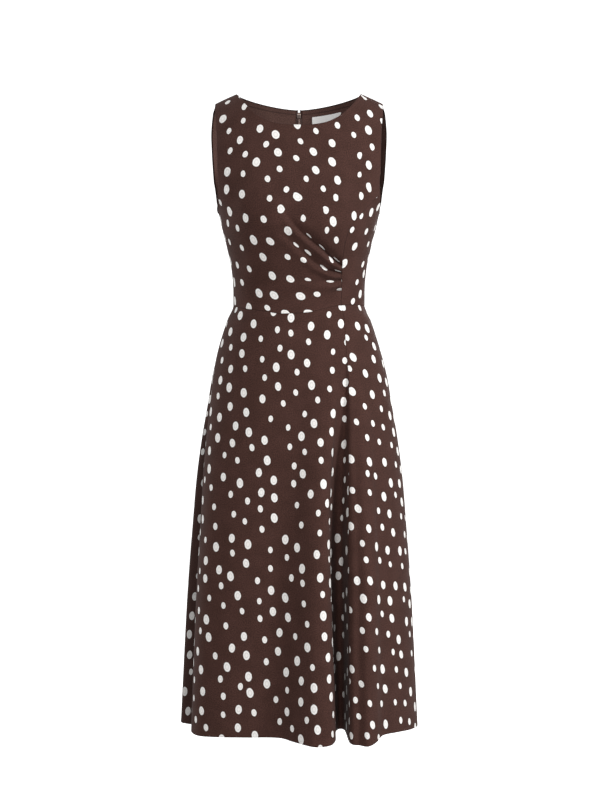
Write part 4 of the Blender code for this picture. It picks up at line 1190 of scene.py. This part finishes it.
def crepe(name, dark, light, dot_share):
    """Matt crepe: uneven dye, a fine pebbled grain, the print where it shows, darker seams, and
    painted shade in creases and folds.
    """
    graph = Paint(name)
    place = graph.cloth()
    grain = graph.noise(place, GRAIN_SCALE, detail=3.0, roughness=0.65)
    pebble = graph.noise(place, PEBBLE_SCALE, detail=2.0, roughness=0.7)
    dyed = graph.blend(graph.span(graph.noise(place, DYE_SCALE, 3.0), *SPREAD), dark, light)
    level = 1 - (GRAIN_CONTRAST + PEBBLE_CONTRAST) / 2
    speck = graph.math("MULTIPLY_ADD", grain, GRAIN_CONTRAST, level)
    colour = graph.shaded(dyed, graph.math("MULTIPLY_ADD", pebble, PEBBLE_CONTRAST, speck))
    if dot_share:
        mask, ring = dot_mask(graph, place)
        thin = graph.span(grain, *SPREAD, INK_THIN, 0.0)
        thin = graph.math("MULTIPLY_ADD", ring, DOT_RING_SHADE, thin)
        white = graph.blend(thin, DOT_WHITE, (0, 0, 0))
        colour = graph.blend(graph.math("MULTIPLY", mask, dot_share), colour, white)
    # darker at seams and stitching, and painted shade in the pleats' creases and the skirt's deep
    # folds, all from the "seam" attribute
    shadow = graph.span(graph.attribute("seam"), 0.0, SHADE_REACH, SEAM_DARK_AND_PAINTED_SHADE, 1.0)
    weave = graph.math("MULTIPLY", graph.noise(place, WEAVE_SCALE, 1.0), WEAVE_RELIEF)
    graph.bump(graph.math("ADD", grain, weave), strength=0.35, distance=0.0005)
    return graph.finish(graph.shaded(colour, shadow), roughness=0.85, gloss=0.12, sheen=0.03)


def woven(name, colour, bands, wave, relief, dark, **finish):
    """Woven cloth: rows of fine yarns, darker between."""
    graph = Paint(name)
    named = {"Vector": graph.cloth(), "Scale": wave[0], "Distortion": wave[1]}
    rows = graph.node("TexWave", named=named, bands_direction=bands)["Fac"]
    graph.bump(rows, *relief)
    return graph.finish(graph.blend(rows, tuple(dark * c for c in colour), colour), **finish)


def coated(name, colour, roughness, metallic=0.0):
    """Paint or nylon: an even coat that is a little rubbed in places."""
    graph = Paint(name)
    rub = graph.noise(graph.node("TexCoord")["Object"], RUB_SCALE, 2.0)
    rubbed = tuple(min(1, RUB_LIGHTER * c) for c in colour)
    graph.bump(rub, strength=0.1, distance=0.0001)
    tone = graph.blend(graph.span(rub, *RUB_SPAN), colour, rubbed)
    uneven = graph.math("MULTIPLY_ADD", rub, RUB_ROUGHNESS, roughness - RUB_ROUGHNESS / 2)
    return graph.finish(tone, uneven, metallic=metallic)


printed_crepe = crepe("printed_crepe", BROWN_DARK, BROWN_LIGHT, 1.0)
crepe_reverse = crepe("crepe_reverse", BROWN_DARK, BROWN_LIGHT, 0.06)
plain_facing = crepe("plain_facing", PLAIN_DARK, PLAIN_LIGHT, 0.0)
label_satin = woven("label_satin", (0.96, 0.95, 0.935), "Y", (0.9, 0.6), (0.25, 0.0002), 0.92,
                    roughness=0.5, sheen=0.1)
zip_cloth = woven("zip_tape", (0.075, 0.042, 0.035), "DIAGONAL", (0.55, 0.4), (0.4, 0.0003), 0.8,
                  roughness=0.75, gloss=0.3)
zip_nylon = coated("zip_nylon", (0.29, 0.20, 0.175), 0.35)
zip_paint = coated("zip_paint", (0.30, 0.235, 0.21), 0.3, 0.6)


# --- the pieces ---

# How far the drape leans the print on the front, besides the pleats' own intake:
# x, drop, and degrees towards the wearer's right.
FRONT_TURN = (
    (-128, 29, 4), (-98, 72, -4), (-118, 119, -8), (-68, 134, -6), (-19, 78, 18),
    (-29, 126, 20), (39, 125, 18), (58, 76, 10), (108, 100, 2), (108, 42, 10),
    (-58, 183, 12), (19, 203, 12), (78, 201, 8), (128, 206, 6), (-12, 234, 18),
    (13, 229, 8), (39, 244, 8), (44, 275, 12), (75, 291, 3), (-47, 239, 12),
    (23, 276, 27), (39, 304, 25), (-5, 282, 21), (-34, 272, 22), (-25, 301, 22),
    (-22, 321, 32), (8, 336, 30), (-31, 341, 18), (62, 342, 22), (71, 327, 6),
    (-44, 364, 18), (-19, 370, 36), (13, 366, 40), (56, 356, 45), (-27, 395, 33),
    (37, 394, 50), (70, 382, 12), (-128, 255, 10), (-58, 250, 16), (-73, 337, 14),
    (-98, 375, 10), (-58, 386, 22), (-108, 306, 12),
)
TURN_REACH = 24.0  # how far one place's turn carries
TURN_FALL = 2.5
FACING_THICKNESS = 0.8  # the shells' own, where it isn't the cloth's
LABEL_THICKNESS = 0.7


def drawn(table, x, drop):
    """Smooth values between scattered places, weighted by nearness."""
    total = np.zeros(x.shape)
    weight = np.zeros(x.shape)
    for place_x, place_drop, value in table:
        near = 1 + ((x - place_x) ** 2 + (drop - place_drop) ** 2) / TURN_REACH ** 2
        near = near ** -TURN_FALL
        total += near * value
        weight += near
    return total / weight


def panel(name, points, slot_name, materials, held, shift=(0, 0), lean=0.0, turn=None, near=None,
          plain=None, fit=None, with_pieces=(), **settings):
    """Lays a panel flat, makes its shell, hangs it on the dress, and hides the solid that it replaces.
    """
    whole = closed(points) if settings.get("loop") else points
    if settings.get("loop"):
        flat = strip_layout(whole)
    else:
        flat = straight_grain(flatten(points if plain is None else plain))
    flat = fit(flat) if fit else flat
    flat = turned_by(flat[:, :points.shape[1]], -math.radians(lean)) + np.array(shift, float)
    turn = np.zeros(points.shape[:2]) if turn is None else np.radians(turn)
    near = np.full(points.shape[:2], FAR) if near is None else near
    piece = shell(name + "_cloth", points, flat, turn, near, materials, **settings)
    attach(piece, "dress")
    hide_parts(name)


def tube(name, rings, material):
    """A closed tube through rings of points."""
    count, sides = rings.shape[:2]
    ids = np.arange(count * sides).reshape(count, sides)
    ends = [ids[0, ::-1].tolist(), ids[-1].tolist()]
    mesh = bpy.data.meshes.new(name)
    mesh.from_pydata((rings.reshape(-1, 3) * MM).tolist(), [], quads(closed(ids)).tolist() + ends)
    return new_object(name, mesh, [material])


both_sides = (printed_crepe, crepe_reverse)
front, plain_front = front_bodice()
front_place = (plain_front[..., 0], -plain_front[..., 2])
panel("front_bodice", front, "printed_crepe", both_sides, "draped", plain=plain_front,
      turn=drawn(FRONT_TURN, *front_place), near=painted_crease_shade(*front_place),
      fit=lambda flat: taken_in(flat, *front_place))
panel("side_front_bodice", side_front_bodice(), "printed_crepe", both_sides, "stretched",
      shift=(300, 40), lean=-14)
for word, start, end, count, shift, lean in (
    ("front_skirt", RIGHT_SIDE, HEM_SEAM_ANGLE, 230, (40, 700), 6),
    ("side_front_skirt", HEM_SEAM_ANGLE, 0, 100, (900, 300), 16),
    ("back_skirt_left", 0, CENTRE_BACK, 110, (1500, 100), 3),
    ("back_skirt_right", CENTRE_BACK, -RIGHT_SIDE, 110, (2100, 900), -3),
):
    points, near = skirt_panel(start, end, count)
    panel(word, points, "printed_crepe", both_sides, "hung", shift=shift, lean=lean, near=near)
facing = {"slot_name": "plain_facing", "materials": (plain_facing,), "held": "stretched",
          "thickness": FACING_THICKNESS, "sink": 0}
for hand, sign in (("left", 1), ("right", -1)):
    panel("back_bodice_" + hand, back_bodice(sign), "printed_crepe", both_sides, "stretched",
          shift=(2700 * sign, 500))
    points, near = back_neck_facing(sign)
    panel("back_neck_facing_" + hand, points, near=near, **facing)
    panel("armhole_facing_" + hand, armhole_facing(sign), loop=True, **facing)
panel("label", label(), "label_satin", (label_satin,), "stretched", thickness=LABEL_THICKNESS, sink=0)
teeth = tube("zip_coil", coil(), zip_nylon)
panel("zip", zip_tape(), "zip_tape", (zip_cloth,), "stretched", with_pieces=[teeth],
      thickness=TAPE_THICKNESS, sink=0)
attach(teeth, "dress")
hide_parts("zip")
for word in ("zip_slider", "zip_pull"):
    for held_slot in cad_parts[word].material_slots:
        held_slot.material = zip_paint


# --- floor, light and camera ---

CAMERA_DISTANCE = 3.0
CAMERA_DROP = 0.570
FRAME_HEIGHT = 800 * 1.9 * MM  # the frame's 800 pixels at 1.9 mm each
SENSOR = 36.0
SHIFT_X = 1 / 800
FLOOR = -1.36
FLOOR_HALF = 6.0
FLOOR_TONE = (0.45, 0.45, 0.45, 1)
FLOOR_WHITE = 0.95  # the floor is as white as the backdrop
LIGHT_FROM_LEFT = 0.30  # the studio's brightness by direction
LIGHT_FROM_RIGHT = 0.55
LIGHT_MIDDLE = (LIGHT_FROM_LEFT + LIGHT_FROM_RIGHT) / 2
WHITE = (1, 1, 1, 1)
LIGHT_AIM = Vector((0, 0, -0.5))
LIGHTS = (  # name, place, size and power of each soft box
    ("key", (3.1, -1.7, 1.3), 0.8, 124),
    ("fill", (-0.4, -3.4, 0.3), 1.4, 50),
    ("back", (1.6, 3.2, 1.2), 1.4, 90),
    ("left", (-3.0, 1.3, 0.8), 1.4, 55),
)


def seen(graph):
    """1 where the camera looks straight at a surface, so that it can be white and not a lamp."""
    return graph.node("LightPath")["Is Camera Ray"]


def placed(name, data, location, rotation):
    made = bpy.data.objects.new(name, data)
    made.location = location
    made.rotation_euler = rotation
    bpy.context.scene.collection.objects.link(made)
    return made


mesh = bpy.data.meshes.new("floor")
corners = [(-FLOOR_HALF, -FLOOR_HALF, 0), (FLOOR_HALF, -FLOOR_HALF, 0),
           (FLOOR_HALF, FLOOR_HALF, 0), (-FLOOR_HALF, FLOOR_HALF, 0)]
mesh.from_pydata(corners, [], [(0, 1, 2, 3)])
paper = Paint("floor")
mesh.materials.append(paper.finish(FLOOR_TONE, roughness=0.9))
paper.shader.inputs["Emission Color"].default_value = WHITE
paper.feed(paper.shader.inputs["Emission Strength"], paper.math("MULTIPLY", seen(paper), FLOOR_WHITE))
placed("floor", mesh, (0, 0, FLOOR), (0, 0, 0))

world = bpy.data.worlds.new("studio")
world.use_nodes = True
sky = Graph(world.node_tree)
across = sky.node("SeparateXYZ", sky.node("TexCoord")["Generated"])["X"]
ambient = sky.math("MULTIPLY_ADD", across, LIGHT_FROM_RIGHT - LIGHT_MIDDLE, LIGHT_MIDDLE)
background = sky.tree.nodes["Background"]
background.inputs["Color"].default_value = WHITE
sky.feed(background.inputs["Strength"], sky.math("ADD", seen(sky), ambient))
bpy.context.scene.world = world
bpy.context.scene.view_settings.view_transform = "Standard"

for name, place, size, power in LIGHTS:
    lamp = bpy.data.lights.new(name, "AREA")
    lamp.size = size
    lamp.energy = power
    placed(name, lamp, place, (LIGHT_AIM - Vector(place)).to_track_quat("-Z", "Y").to_euler())

lens = bpy.data.cameras.new("camera")
lens.sensor_fit = "VERTICAL"
lens.sensor_height = SENSOR
lens.lens = SENSOR * CAMERA_DISTANCE / FRAME_HEIGHT
lens.shift_x = SHIFT_X
eye = placed("camera", lens, (0, -CAMERA_DISTANCE, -CAMERA_DROP), (math.pi / 2, 0, 0))
bpy.context.scene.camera = eye
